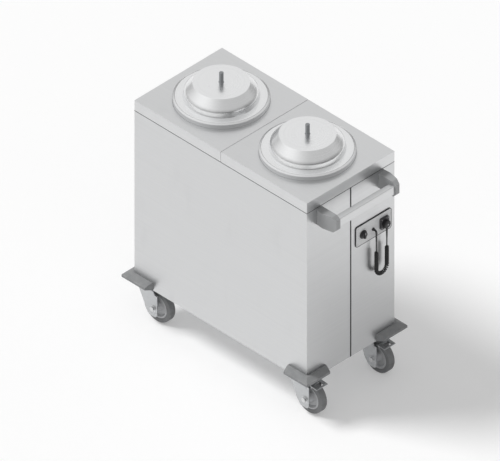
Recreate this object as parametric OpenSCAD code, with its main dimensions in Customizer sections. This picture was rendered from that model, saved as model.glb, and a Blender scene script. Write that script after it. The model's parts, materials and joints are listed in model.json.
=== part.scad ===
// Two-well plate dispenser cart: a sheet metal body on four swivel castors, with two sprung plate
// wells under lift-off lids, a push handle between two brackets, four corner bumpers, and a control
// panel with a rotary switch and a curly mains cord whose plug is parked beside it.
// Lengths are in millimetres. +Z is up and the handle end faces +X. Left is -Y, right is +Y, front
// is the handle end. The origin is on the floor, below the middle of the cart without its cord.

/* [Body] */
// Length of the casing, without handle and bumpers
body_l = 813; // [800:1:900]
// Width of the casing
body_w = 413; // [400:1:460]
// Height of the deck above the floor
deck_z = 900; // [880:1:960]
// Thickness of the casing and deck sheet
sheet = 1.5; // [1:0.1:2]
// Height of the folded skirt round the deck
fascia_h = 42; // [38:1:50]
// Gap between the two halves of the casing
seam_gap = 3; // [2:0.5:5]
// Width of the flanges turned in along the seams
seam_flange = 14; // [10:1:20]
// Gap between the two deck plates
split_gap = 1.2; // [0.8:0.1:2]
// Depth of the flange turned down along the split of the deck
split_flange = 30; // [24:1:34]
// Gap that shows between the deck's skirt and the casing below it
fascia_gap = 1; // [0.6:0.1:1.6]
// Thickness of the base pan
pan_t = 2; // [1.5:0.1:3]
// Height of the base pan's turned-up edge
pan_lip = 18; // [12:1:24]
// Height of the chassis channels that carry the castors
channel_h = 28; // [22:1:34]
// Thickness of the chassis channels
channel_t = 2.5; // [2:0.1:4]
// Width of the beam under the split of the deck
beam_w = 38; // [30:1:44]
// Height of the beam under the split of the deck
beam_h = 24; // [20:1:30]

/* [Wells] */
// Inner radius of the collar that plates pass through
well_r = 145; // [140:1:150]
// Width of the collar's ring above the deck
collar_w = 18.4; // [16:0.2:22]
// Height of the collar's outer edge above the deck
collar_h = 15.5; // [12:0.5:20]
// Height of the bevel on top of the collar
collar_bevel = 3.8; // [3:0.1:5]
// Width of the collar's flange under the deck, beyond its ring
collar_flange_w = 12; // [9:1:14]
// Thickness of the collar's flange under the deck
collar_flange_t = 6.5; // [5:0.5:8]
// Wall thickness of the well tube
tube_t = 1.5; // [1:0.1:2]
// Height of the well floor's underside above the floor
floor_z = 198; // [194:1:220]
// Radius of the plate platform
platform_r = 137; // [126:1:138]
// Depth of the platform's top below the deck at rest
platform_sink = 10; // [9:1:14]
// Distance from the platform's top down to its spring arms
arm_drop = 160; // [150:1:180]
// Travel of the platform
platform_travel = 470; // [430:5:470]
// Radius of a lift spring
spring_coil_r = 6; // [4:0.5:7]
// Radius of the heating element's ring
heater_ring_r = 95; // [80:1:105]
// Radius of the heating element's tube
heater_r = 4.25; // [3.5:0.25:5]

/* [Lids] */
// Thickness of the lid
lid_t = 2; // [1.5:0.1:3]
// Width of the ledge that carries the lid's brim
lid_seat = 10.5; // [8:0.5:12]
// Step from the well's radius in to the foot of the lid's wall
lid_step = 15; // [12:1:20]
// Inward lean of the lid's wall
lid_lean = 5.5; // [3:0.5:8]
// Height of the lid's wall above its brim
lid_wall_h = 23; // [18:1:30]
// Height of the lid's flat top above its brim
lid_top_h = 55.5; // [48:0.5:64]
// Flat top's radius, as a share of the radius at the foot of the wall
lid_top_share = 0.745; // [0.65:0.005:0.8]
// Radius of the lid's knob
lid_knob_r = 7.8; // [6:0.2:10]
// Height of the lid's knob
lid_knob_h = 40; // [30:1:50]

/* [Handle] */
// Reach of the handle beyond the casing
handle_reach = 82; // [76:1:100]
// Depth of the handle bar's middle below the deck
handle_drop = 82; // [78:1:100]
// Clear length of the handle bar between its brackets
bar_l = 261; // [220:1:290]
// Depth of the bar's section, front to back
bar_d = 23; // [18:1:26]
// Height of the bar's section
bar_h = 37; // [30:1:40]
// Corner radius of the bar's section
bar_corner = 4; // [2:0.5:6]
// Wall thickness of the bar
bar_t = 2; // [1.5:0.1:3]
// Setback of the bar's front from the brackets' front
bar_setback = 5; // [2:0.5:7]
// Depth of the bar's sockets in the brackets
bar_socket = 10; // [6:1:12]
// Height of a bracket
bracket_h = 60; // [54:1:72]
// Width of a bracket at its widest, near the casing
bracket_root_w = 31; // [27:1:36]
// Width of a bracket where its nose starts
bracket_bend_w = 23; // [22:1:26]
// Width of a bracket at its front
bracket_front_w = 17.5; // [16:0.5:21]
// Wall thickness of the hollow bracket at its back
bracket_wall = 4; // [3:0.5:5]

/* [Control panel] */
// Width of the control panel
panel_w = 166; // [160:1:174]
// Height of the control panel
panel_h = 80.5; // [76:0.5:90]
// Thickness of the control panel
panel_t = 3; // [2:0.5:4]
// Corner radius of the control panel
panel_corner = 8; // [4:1:12]
// Distance of the panel's middle from the cart's middle plane
panel_side = 105; // [100:1:106]
// Depth of the panel's middle below the deck
panel_drop = 264; // [240:1:300]
// Depth of the control box behind the panel
control_box_d = 44; // [38:1:46]
// Wall thickness of the control box
control_box_t = 1.2; // [1:0.1:2]
// Overlap of the panel over the control box, on each side
panel_overlap = 7.5; // [6:0.5:10]
// Radius of the switch knob's skirt
knob_r = 16; // [13:0.5:18]
// Height of the switch knob
knob_h = 13; // [12:0.5:16]
// Radius of the switch's shaft
shaft_r = 3; // [2.5:0.25:4]
// Width of the parking socket's frame
socket_w = 38; // [36:1:44]
// Height of the parking socket's frame
socket_h = 43; // [38:1:46]
// Height of the parking socket's frame in front of the panel
socket_d = 9; // [7:0.5:11]
// Radius of the parking socket's cup behind the panel
cup_r = 16; // [15:0.5:17]
// Length of the plug's pins
pin_l = 19; // [17:0.5:20]
// Distance of a pin from the plug's middle
pin_gap = 9.5; // [9:0.1:10]

/* [Bumpers] */
// Reach of a bumper beyond the casing
bumper_reach = 31; // [24:1:36]
// Length of a bumper's leg along the casing
bumper_leg = 88; // [70:1:110]
// Height of a bumper against the casing
bumper_h = 31; // [26:1:38]
// Height of a bumper's upright lip
bumper_lip = 9.3; // [7:0.1:12]
// Width of the flat on top of a bumper
bumper_flat = 10.5; // [8:0.5:14]
// Rise of the slanted underside from the casing to the lip
bumper_rise = 11; // [8:0.5:13]
// Taper of a leg's end, from the casing to the lip
bumper_taper = 8; // [4:1:12]

/* [Castors] */
// Diameter of the wheels
wheel_d = 125; // [115:1:130]
// Width of the tyre
wheel_w = 28; // [26:1:36]
// Radius of the wheel's centre, where the tyre starts
hub_r = 46; // [40:1:50]
// Radius of the axles
axle_r = 6; // [5:0.5:7]
// Horizontal trail of the axle behind the swivel axis
trail = 23; // [21:1:30]
// Distance of the swivel axes from the casing's ends
castor_end = 49; // [48:1:58]
// Distance of the swivel axes from the casing's sides
castor_side = 47; // [44:1:60]
// Half of the fork's outer width
fork_half = 31; // [28:0.5:34]
// Thickness of the fork's sheet
fork_t = 3.2; // [2.5:0.1:4]
// Gap between the wheel and the fork's crown
crown_gap = 3.8; // [3:0.1:6]
// Height of the swivel races, upper and lower together
race_h = 18; // [14:1:22]
// Radius of the swivel races
race_r = 25; // [20:1:28]
// Radius of the kingpin
kingpin_r = 6; // [5:0.5:7]
// Thickness of the castors' top plates
castor_plate_t = 4; // [3:0.5:5]
// Length of the castors' top plates
castor_plate_l = 90; // [80:1:94]
// Width of the castors' top plates
castor_plate_w = 80; // [70:1:86]
// Reach of the fork's rounded tail beyond the axle
fork_tail = 18.8; // [17:0.2:24]
// Reach of the fork's foot below the axle
fork_foot = 33; // [26:0.5:35]
// Length of the brake pedal's tread
tread_l = 32; // [28:1:36]
// Width of the brake pedal's tread
tread_w = 52; // [50:1:54]
// Thickness of the brake pedal's tread
tread_t = 3; // [2.5:0.1:3.5]

/* [Hidden] */

// Facets of large, middling and small round shapes, and of the arcs in outlines
large_fn = 120;
mid_fn = 48;
small_fn = 32;
toe_steps = 4;
tail_steps = 6;

// Overrun of every cut, gap between pieces that seat on each other, and a pin's running clearance
over = 1;
seat_gap = 0.3;
running = 0.05;

// Casing and deck, from the overall sizes
body_cx = (bumper_reach - handle_reach) / 2;
end_x = body_cx + body_l / 2;
far_x = body_cx - body_l / 2;
half_w = body_w / 2;
joggle = sheet + seat_gap;
under_deck = deck_z - sheet;
casing_z1 = deck_z - fascia_h - fascia_gap;
deck_l = body_l / 2 - split_gap / 2;

// Castors, from the floor up
axle_z = wheel_d / 2;
crown_z0 = wheel_d + crown_gap;
crown_z1 = crown_z0 + fork_t;
race_mid = crown_z1 + race_h / 2;
castor_plate_z = crown_z1 + race_h;
body_z = castor_plate_z + castor_plate_t;
channel_z0 = body_z + pan_t;
channel_z1 = channel_z0 + channel_h;
channel_half = castor_end - sheet - pan_t - seat_gap;
vent_l = 70;
vent_w = 8;
vent_pitch = 24;
vent_columns = 4;

// Wells: collar, tube and floor
well_x = body_l / 4;
collar_r = well_r + collar_w;
collar_z0 = under_deck - collar_flange_t;
collar_top = deck_z + collar_h + collar_bevel;
collar_lip = 0.8;
brim_r = well_r + lid_seat;
tube_inset = 1.5;
tube_r = well_r + tube_inset;
tube_out = tube_r + tube_t;
tube_flange_w = 8;
well_floor_t = 1.5;
tube_z0 = floor_z + well_floor_t;
floor_rim = 22;
floor_vent_r = 40;

// Wells: platform, its arms and the lift springs
arm_angles = [90, 210, 330];
spring_clear = 4.5;
spring_r = tube_out + spring_clear + spring_coil_r;
arm_w = 9;
arm_t = 6;
arm_tip = 3;
platform_z = deck_z - platform_sink;
arm_z1 = platform_z - arm_drop;
arm_z0 = arm_z1 - arm_t;
arm_end_r = spring_r + spring_coil_r + arm_tip;
slot_clear = 2.5;
slot_w = arm_w + 2 * slot_clear;
slot_end = 14;
slot_foot = 12;
tab_w = 16;
tab_t = 3;
tab_drop = 21;
tab_z1 = collar_z0 - tab_drop;
hook_r = 1.2;
hook_hole_r = 2.2;
hook_pin_l = 9;
spring_hook_l = 9;
platform_t = 2;
platform_rim = 12;
platform_leg_w = 20;
platform_leg_t = 5;
platform_leg_in = 12;
platform_leg_r = platform_r - platform_leg_in;
platform_ring_w = 16;
platform_hole_r = 18;
platform_hole_ring_share = 0.55;
platform_holes = 6;

// Wells: heating element and its posts
heater_lift = 14;
heater_z = floor_z + heater_lift;
heater_sweep = 320;
terminal_wall = 1.75;
terminal_r = heater_r + terminal_wall;
terminal_l = 26;
post_r = 7;
post_angles = [30, 150, 270];

// Lids
lid_z0 = collar_top - lid_t;
lid_foot_r = well_r - lid_step;
lid_shoulder_r = lid_foot_r - lid_lean;
lid_top_r = lid_foot_r * lid_top_share;
lid_top_z = collar_top + lid_top_h;
lid_shoulder_z = collar_top + lid_wall_h;
lid_knob_chamfer = 1.5;

// Handle
bar_z = deck_z - handle_drop;
bar_x = end_x + handle_reach - bar_setback - bar_d / 2;
bracket_root_taper = 2;
bracket_top_run = 17;
bracket_top_fall = 10;
bracket_foot_run = 12;
bracket_foot_rise = 12;
bracket_waist_share = 0.34;
bracket_bend_share = 0.79;

// Control panel, switch, socket and gland
panel_z = deck_z - panel_drop;
panel_x1 = end_x + panel_t;
control_box_w = panel_w - 2 * panel_overlap;
control_box_h = panel_h - 2 * panel_overlap;
knob_offset = 50;
knob_y = panel_side - knob_offset;
gland_offset = 2.5;
gland_y = panel_side - gland_offset;
gland_drop = 4;
gland_z = panel_z - gland_drop;
socket_offset = 46.5;
socket_y = panel_side + socket_offset;
socket_z = panel_z;
socket_corner = 4;
socket_end_t = 3;
switch_size = 34;
switch_depth = 26;
shaft_l = 8;
knob_lift = 0.6;
knob_skirt_h = 4;
knob_body_share = 0.72;
knob_grip_w = 6;
knob_grip_rise = 3.5;
gland_nut_r = 7;
gland_nut_l = 5;
gland_stem_r = 4;
gland_flange_l = 2.5;
gland_flange_r = 6;
gland_dome_l = 4.5;
gland_dome_r = 5.2;
gland_mouth_r = 3.2;

// Bumpers
bumper_z1 = body_z + bumper_h;
bumper_lip_z0 = body_z + bumper_rise;
bumper_lip_z1 = bumper_lip_z0 + bumper_lip;

// Castor forks and pedals, from the swivel axis
crown_x0 = -52;
crown_x1 = 22;
crown_step = 8;
cheek_drop = 13;
cheek_top = crown_z1 - cheek_drop;
cheek_round = 15;
cheek_toe = 6.5;
race_low_h = race_h / 2 - seat_gap;
race_step = 1.5;
kingpin_head_r = 9;
kingpin_head_h = 2.6;
axle_head_r = 9.8;
axle_head_h = 6.5;
washer_r = 12;
washer_t = 1.5;
hub_boss_r = 15;
hub_gap = 0.6;
hub_web = 5;
hub_rim_w = 6;
hub_rim_in = 1.5;
tyre_chamfer = 2.5;
pivot_r = 4;
pivot_ahead = 7;
pivot_above = 49.5;
pivot_x = trail + pivot_ahead;
pivot_z = axle_z + pivot_above;
pedal_arm_t = 4;
pedal_arm_gap = 3.3;
pedal_arm_y = fork_half - fork_t - pedal_arm_gap - pedal_arm_t;
pedal_eye_w = 7;
pedal_eye_h = 6;
pedal_neck = 1;
tread_ahead = 20;
tread_above = 65;
tread_x0 = trail + tread_ahead;
tread_z1 = axle_z + tread_above;
tread_fall = 5;
tread_window_l = 20;
tread_window_w = 26;

// Plug, from the socket's face
plug_r = 14;
plug_t = 14;
plug_round = 3;
plug_boss_r = 5;
plug_mouth_r = 3.4;
plug_boss_h = 21;
pin_r = 2.4;
pin_room = 0.4;

// Cord: its diameter, the routes of the two straight leads, and the U of the curly stretch
cord_d = 4.6;
cord_sides = 8;
supply_route = [
    [391, 102.5, 632], [393, 102.5, 632], [395, 102.5, 631.5], [397, 102.5, 630],
    [398.5, 102.5, 628], [399.5, 102.5, 625.5], [400, 102.5, 622], [400, 102.5, 611],
    [400, 102.5, 599], [400, 102.5, 587], [400, 102.5, 575], [400, 102.5, 564], [400, 102.5, 552]
];
plug_route = [
    [400, 151.5, 615], [400, 151.5, 604], [400, 151.5, 592], [400, 151.5, 578],
    [400, 151.5, 565], [400, 151.5, 552]
];
curl_start = [400, 102.5, 552];
curl_stub = 5;
curl_bend = 24.5;
curl_leg = 76;
curl_r = 5.2;
curl_sides = 6;
curl_rings = 8;
leg_curls = 14;
bend_curls = 11;
curls = 2 * leg_curls + bend_curls;

// Common shapes

// Rectangle with round corners, in the middle of the plane
module rounded_rect(w, h, r) {
    square([w - 2 * r, h], center = true);
    square([w, h - 2 * r], center = true);
    for (sx = [-1, 1], sy = [-1, 1])
        translate([sx * (w / 2 - r), sy * (h / 2 - r)]) circle(r, $fn = small_fn);
}

// A plane outline given across Y and Z, as a slab of thickness t that starts at x
module slab_x(x, t) {
    translate([x, 0, 0]) rotate([90, 0, 90]) linear_extrude(t) children();
}

// A plane outline given across X and Z, as a slab of thickness t centred on y
module slab_y(y, t) {
    translate([0, y + t / 2, 0]) rotate([90, 0, 0]) linear_extrude(t) children();
}

// A shape revolved round the X axis, from an outline of distance along X and radius
module turned_x(x, y, z) {
    translate([x, y, z]) rotate([0, 90, 0]) rotate_extrude($fn = mid_fn) children();
}

// Points of an arc
function arc(cx, cy, r, a0, a1, n) =
    [for (i = [0:n]) [cx + r * cos(a0 + (a1 - a0) * i / n), cy + r * sin(a0 + (a1 - a0) * i / n)]];

// Places a well's pieces: front is the handle end
module at_well(front) {
    translate([body_cx + (front ? well_x : -well_x), 0, 0]) children();
}

// Places a castor's pieces on its swivel axis
module at_castor(front, left) {
    translate([
        front ? end_x - castor_end : far_x + castor_end,
        left ? -half_w + castor_side : half_w - castor_side,
        0
    ]) children();
}

// Casing

// One half of a wall of thickness t in plan, set in from the casing's outside, on the left side
module casing_plan(inset, t) {
    difference() {
        translate([far_x + inset, -half_w + inset])
            square([body_l - 2 * inset, half_w - inset - seam_gap / 2]);
        translate([far_x + inset + t, -half_w + inset + t])
            square([body_l - 2 * (inset + t), half_w]);
    }
}

// Half a casing: side wall, half of both ends, a joggled upstand inside the deck's skirt, and
// flanges turned in along the seams
module casing_half() {
    flange_z0 = channel_z1 + seat_gap;
    translate([0, 0, body_z]) linear_extrude(casing_z1 - body_z) casing_plan(0, sheet);
    translate([0, 0, casing_z1 - sheet]) linear_extrude(sheet) casing_plan(0, joggle + sheet);
    translate([0, 0, casing_z1 - sheet]) linear_extrude(under_deck - casing_z1 + sheet)
        casing_plan(joggle, sheet);
    for (x = [far_x, end_x - seam_flange])
        translate([x, -seam_gap / 2 - sheet, flange_z0])
            cube([seam_flange, sheet, casing_z1 - flange_z0]);
}

module casing_left() {
    color("gainsboro") casing_half();
}

// The right half has the cut-out for the control box
module casing_right() {
    cut_w = control_box_w + 2 * seat_gap;
    cut_h = control_box_h + 2 * seat_gap;
    color("gainsboro") difference() {
        mirror([0, 1, 0]) casing_half();
        translate([end_x - sheet - over, panel_side - cut_w / 2, panel_z - cut_h / 2])
            cube([sheet + 2 * over, cut_w, cut_h]);
    }
}

// Deck

// Half of the deck: a tray folded down on three sides, with a flange at the split and a hole
// round the well's collar
module deck_half() {
    inner = joggle + sheet + seat_gap;
    difference() {
        union() {
            translate([split_gap / 2, -half_w, under_deck]) cube([deck_l, body_w, sheet]);
            translate([0, 0, deck_z - fascia_h]) linear_extrude(fascia_h) difference() {
                translate([split_gap / 2, -half_w]) square([deck_l, body_w]);
                translate([split_gap / 2 - over, -half_w + sheet])
                    square([deck_l - sheet + over, body_w - 2 * sheet]);
            }
            translate([split_gap / 2, -half_w + inner, deck_z - split_flange])
                cube([sheet, body_w - 2 * inner, split_flange]);
        }
        translate([well_x, 0, under_deck - over])
            cylinder(r = collar_r + seat_gap, h = sheet + 2 * over, $fn = large_fn);
    }
}

module deck_front() {
    color("whitesmoke") translate([body_cx, 0, 0]) deck_half();
}

module deck_rear() {
    color("whitesmoke") translate([body_cx, 0, 0]) mirror([1, 0, 0]) deck_half();
}

// Box beam under the split, between the casing's upstands
module centre_beam() {
    length = body_w - 2 * (joggle + sheet);
    z0 = deck_z - split_flange - beam_h;
    color("silver") difference() {
        translate([body_cx - beam_w / 2, -length / 2, z0]) cube([beam_w, length, beam_h]);
        translate([body_cx - beam_w / 2 + pan_t, -length / 2 - over, z0 + pan_t])
            cube([beam_w - 2 * pan_t, length + 2 * over, beam_h - 2 * pan_t]);
    }
}

// Base

// Tray inside the casing's lower edge, with ventilation slots below each well
module base_pan() {
    length = body_l - 2 * sheet;
    width = body_w - 2 * sheet;
    color("silver") difference() {
        translate([far_x + sheet, -width / 2, body_z]) cube([length, width, pan_lip]);
        translate([far_x + sheet + pan_t, -width / 2 + pan_t, channel_z0])
            cube([length - 2 * pan_t, width - 2 * pan_t, pan_lip]);
        for (front = [true, false]) at_well(front) for (i = [1:vent_columns], s = [-1, 1])
            translate([
                (i - (vent_columns + 1) / 2) * vent_pitch - vent_w / 2,
                s * vent_l - vent_l / 2,
                body_z - over
            ]) cube([vent_w, vent_l, pan_t + 2 * over]);
    }
}

// Channel across the pan, open side up, whose web takes the castor bolts
module chassis_channel(front) {
    x = front ? end_x - castor_end : far_x + castor_end;
    length = body_w - 2 * (sheet + pan_t + seat_gap);
    color("silver") difference() {
        translate([x - channel_half, -length / 2, channel_z0])
            cube([2 * channel_half, length, channel_h]);
        translate([x - channel_half + channel_t, -length / 2 - over, channel_z0 + channel_t])
            cube([2 * (channel_half - channel_t), length + 2 * over, channel_h]);
    }
}

// Wells

// Ring that stands through the deck: a flange below, a rebate for the lid's brim and a bevelled
// outer edge above
module well_collar(front) {
    rebate_r = brim_r + seat_gap;
    ledge_z = lid_z0 - seat_gap;
    color("silver") at_well(front) rotate_extrude($fn = large_fn) polygon([
        [well_r, collar_z0], [collar_r + collar_flange_w, collar_z0],
        [collar_r + collar_flange_w, under_deck], [collar_r, under_deck],
        [collar_r, deck_z + collar_h], [rebate_r + collar_lip, collar_top],
        [rebate_r, collar_top], [rebate_r, ledge_z], [well_r, ledge_z]
    ]);
}

// Sheet tube that guides the plates, flanged under the collar, slotted for the platform's arms,
// with a tab over each slot for a lift spring
module well_tube(front) {
    slot_z0 = max(arm_z0 - platform_travel - slot_end, tube_z0 + slot_foot);
    slot_z1 = arm_z1 + slot_end;
    color("lightgray") at_well(front) difference() {
        union() {
            rotate_extrude($fn = large_fn) polygon([
                [tube_r, tube_z0], [tube_out, tube_z0], [tube_out, collar_z0 - tube_t],
                [tube_out + tube_flange_w, collar_z0 - tube_t],
                [tube_out + tube_flange_w, collar_z0], [tube_r, collar_z0]
            ]);
            for (a = arm_angles) rotate(a)
                translate([tube_r + tube_t / 2, -tab_w / 2, tab_z1 - tab_t])
                    cube([arm_end_r - tube_r - tube_t / 2, tab_w, tab_t]);
        }
        for (a = arm_angles) rotate(a) {
            translate([tube_r - over, -slot_w / 2, slot_z0])
                cube([tube_t + 2 * over, slot_w, slot_z1 - slot_z0]);
            translate([spring_r, 0, tab_z1 - tab_t - over])
                cylinder(r = hook_hole_r, h = tab_t + 2 * over, $fn = small_fn);
        }
    }
}

// Dish that closes the tube below and carries the heating element in the saddles of three posts
module well_floor(front) {
    skirt_r = tube_out + seat_gap;
    color("gray") at_well(front) difference() {
        union() {
            rotate_extrude($fn = large_fn) polygon([
                [floor_vent_r, floor_z], [skirt_r + well_floor_t, floor_z],
                [skirt_r + well_floor_t, floor_z + floor_rim], [skirt_r, floor_z + floor_rim],
                [skirt_r, tube_z0], [floor_vent_r, tube_z0]
            ]);
            for (a = post_angles) rotate(a) translate([heater_ring_r, 0, floor_z])
                cylinder(r = post_r, h = heater_lift, $fn = small_fn);
        }
        translate([0, 0, heater_z]) rotate_extrude($fn = large_fn)
            translate([heater_ring_r, 0]) circle(heater_r + running, $fn = small_fn);
        for (a = [-1, 1]) rotate(a * heater_sweep / 2)
            translate([heater_ring_r, 0, floor_z - over])
                cylinder(r = terminal_r + seat_gap, h = well_floor_t + 2 * over, $fn = small_fn);
    }
}

// Tubular heating element: a nearly closed ring with a terminal at both ends, down through the
// floor
module heater(front) {
    color("dimgray") at_well(front) rotate(-heater_sweep / 2) {
        translate([0, 0, heater_z]) rotate_extrude(angle = heater_sweep, $fn = large_fn)
            translate([heater_ring_r, 0]) circle(heater_r, $fn = small_fn);
        for (a = [0, heater_sweep]) rotate(a)
            translate([heater_ring_r, 0, heater_z - terminal_l])
                cylinder(r = terminal_r, h = terminal_l + terminal_r, $fn = small_fn);
    }
}

// Plate platform: a perforated plate with a turned-down rim, three legs below it, and a ring whose
// arms reach out through the tube's slots to the lift springs
module platform(front) {
    ring_r1 = platform_leg_r + platform_leg_t;
    ring_r0 = ring_r1 - platform_ring_w;
    plate_z0 = platform_z - platform_t;
    leg_z0 = arm_z1 + seat_gap;
    color("silver") at_well(front) {
        difference() {
            rotate_extrude($fn = large_fn) polygon([
                [0, plate_z0], [platform_r - platform_t, plate_z0],
                [platform_r - platform_t, platform_z - platform_rim],
                [platform_r, platform_z - platform_rim], [platform_r, platform_z], [0, platform_z]
            ]);
            for (i = [0:platform_holes - 1]) rotate(i * 360 / platform_holes)
                translate([platform_r * platform_hole_ring_share, 0, plate_z0 - over])
                    cylinder(r = platform_hole_r, h = platform_t + 2 * over, $fn = mid_fn);
            translate([0, 0, plate_z0 - over])
                cylinder(r = platform_hole_r, h = platform_t + 2 * over, $fn = mid_fn);
        }
        for (a = arm_angles) rotate(a) translate([platform_leg_r, -platform_leg_w / 2, leg_z0])
            cube([platform_leg_t, platform_leg_w, plate_z0 - seat_gap - leg_z0]);
        difference() {
            union() {
                rotate_extrude($fn = large_fn) polygon([
                    [ring_r0, arm_z0], [ring_r1, arm_z0], [ring_r1, arm_z0 + platform_t],
                    [ring_r0, arm_z0 + platform_t]
                ]);
                for (a = arm_angles) rotate(a) {
                    translate([platform_leg_r, -platform_leg_w / 2, arm_z0])
                        cube([platform_leg_t, platform_leg_w, arm_t]);
                    translate([ring_r0, -arm_w / 2, arm_z0])
                        cube([arm_end_r - ring_r0, arm_w, arm_t]);
                }
            }
            for (a = arm_angles) rotate(a) translate([spring_r, 0, arm_z0 - over])
                cylinder(r = hook_hole_r, h = arm_t + 2 * over, $fn = small_fn);
        }
    }
}

// Three lift springs as plain barrels, each with a hook's shank and cross pin at both ends
module lift_springs(front) {
    barrel_z0 = arm_z1 + spring_hook_l;
    barrel_z1 = tab_z1 - tab_t - spring_hook_l;
    pin_top = tab_z1 + seat_gap + hook_r;
    pin_foot = arm_z0 - seat_gap - hook_r;
    color("darkgray") at_well(front) for (a = arm_angles) rotate(a) translate([spring_r, 0, 0]) {
        translate([0, 0, barrel_z0])
            cylinder(r = spring_coil_r, h = barrel_z1 - barrel_z0, $fn = small_fn);
        translate([0, 0, pin_foot]) cylinder(r = hook_r, h = pin_top - pin_foot, $fn = small_fn);
        for (z = [pin_foot, pin_top]) translate([0, 0, z]) rotate([90, 0, 0])
            cylinder(r = hook_r, h = hook_pin_l, center = true, $fn = small_fn);
    }
}

// Lids

// Pressed cover: flat brim, slightly leaning wall, cone and flat top
module lid(front) {
    color("whitesmoke") at_well(front) rotate_extrude($fn = large_fn) polygon([
        [0, lid_top_z], [lid_top_r, lid_top_z], [lid_shoulder_r, lid_shoulder_z],
        [lid_foot_r, collar_top], [brim_r, collar_top], [brim_r, lid_z0],
        [lid_foot_r - lid_t, lid_z0], [lid_shoulder_r - lid_t, lid_shoulder_z - lid_t / 2],
        [lid_top_r - lid_t / 2, lid_top_z - lid_t], [0, lid_top_z - lid_t]
    ]);
}

// Slender peg that lifts the lid
module lid_knob(front) {
    z1 = lid_top_z + lid_knob_h;
    color("dimgray") at_well(front) rotate_extrude($fn = mid_fn) polygon([
        [0, lid_top_z], [lid_knob_r, lid_top_z], [lid_knob_r, z1 - lid_knob_chamfer],
        [lid_knob_r - lid_knob_chamfer, z1], [0, z1]
    ]);
}

// Handle

// Flat-sided tube between the brackets
module handle_bar() {
    length = bar_l + 2 * bar_socket;
    color("silver") translate([bar_x, length / 2, bar_z]) rotate([90, 0, 0])
        linear_extrude(length) difference() {
            rounded_rect(bar_d, bar_h, bar_corner);
            rounded_rect(bar_d - 2 * bar_t, bar_h - 2 * bar_t, bar_corner - bar_t / 2);
        }
}

// Moulded bracket on the left side: a side outline with bevelled nose, cut to a plan that narrows
// towards the front, hollow at its back and with a socket for the bar
module handle_bracket() {
    reach = handle_reach;
    z0 = bar_z - bracket_h / 2;
    z1 = bar_z + bracket_h / 2;
    inner = -bar_l / 2;
    hollow_l = reach - bar_setback - bar_d - bracket_wall;
    hollow_w = bracket_bend_w - 2 * bracket_wall;
    difference() {
        intersection() {
            translate([end_x, 0, 0]) slab_y(inner - bracket_root_w / 2, bracket_root_w) polygon([
                [0, z0], [0, z1], [reach - bracket_top_run, z1], [reach, z1 - bracket_top_fall],
                [reach, z0 + bracket_foot_rise], [reach - bracket_foot_run, z0]
            ]);
            translate([end_x, 0, z0]) linear_extrude(bracket_h) polygon([
                [0, inner], [0, inner - bracket_root_w + bracket_root_taper],
                [reach * bracket_waist_share, inner - bracket_root_w],
                [reach * bracket_bend_share, inner - bracket_bend_w],
                [reach, inner - bracket_front_w], [reach, inner]
            ]);
        }
        translate([bar_x, inner + over, bar_z]) rotate([90, 0, 0])
            linear_extrude(bar_socket + over) rounded_rect(bar_d, bar_h, bar_corner);
        translate([end_x - over, inner - bracket_wall - hollow_w, z0 + bracket_wall])
            cube([hollow_l + over, hollow_w, bracket_h - 2 * bracket_wall]);
    }
}

module handle_bracket_left() {
    color("gray") handle_bracket();
}

module handle_bracket_right() {
    color("gray") mirror([0, 1, 0]) handle_bracket();
}

// Control panel

// Plate with round corners and holes for the switch's shaft, the gland and the socket's cup
module control_panel() {
    holes = [
        [knob_y, panel_z, shaft_r], [gland_y, gland_z, gland_stem_r], [socket_y, socket_z, cup_r]
    ];
    color("lightgray") difference() {
        slab_x(end_x, panel_t) translate([panel_side, panel_z])
            rounded_rect(panel_w, panel_h, panel_corner);
        for (hole = holes) translate([end_x - over, hole[0], hole[1]]) rotate([0, 90, 0])
            cylinder(r = hole[2] + seat_gap, h = panel_t + 2 * over, $fn = mid_fn);
    }
}

// Sheet box behind the panel, open to the front
module control_box() {
    t = control_box_t;
    color("silver") difference() {
        translate([end_x - control_box_d, panel_side - control_box_w / 2, panel_z - control_box_h / 2])
            cube([control_box_d, control_box_w, control_box_h]);
        translate([
            end_x - control_box_d + t,
            panel_side - control_box_w / 2 + t,
            panel_z - control_box_h / 2 + t
        ]) cube([control_box_d, control_box_w - 2 * t, control_box_h - 2 * t]);
    }
}

// Thermostat body behind the panel, with the shaft that the knob turns on
module switch_body() {
    color("black") union() {
        slab_x(end_x - switch_depth, switch_depth) translate([knob_y, panel_z])
            rounded_rect(switch_size, switch_size, socket_corner);
        translate([end_x - over, knob_y, panel_z]) rotate([0, 90, 0])
            cylinder(r = shaft_r, h = over + panel_t + shaft_l, $fn = small_fn);
    }
}

// Round knob with a skirt and a raised grip across it
module switch_knob() {
    x0 = panel_x1 + knob_lift;
    body_r = knob_r * knob_body_share;
    body_h = knob_h - knob_grip_rise;
    color("black") difference() {
        union() {
            turned_x(x0, knob_y, panel_z) polygon([
                [0, 0], [knob_r, 0], [knob_r, knob_skirt_h / 2], [body_r, knob_skirt_h],
                [body_r, body_h], [0, body_h]
            ]);
            slab_y(knob_y, knob_grip_w) polygon([
                [x0 + knob_skirt_h / 4, panel_z - knob_r], [x0 + knob_h, panel_z - body_r],
                [x0 + knob_h, panel_z + body_r], [x0 + knob_skirt_h / 4, panel_z + knob_r]
            ]);
        }
        translate([x0 - over, knob_y, panel_z]) rotate([0, 90, 0])
            cylinder(r = shaft_r + running, h = shaft_l + over, $fn = small_fn);
    }
}

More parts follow.
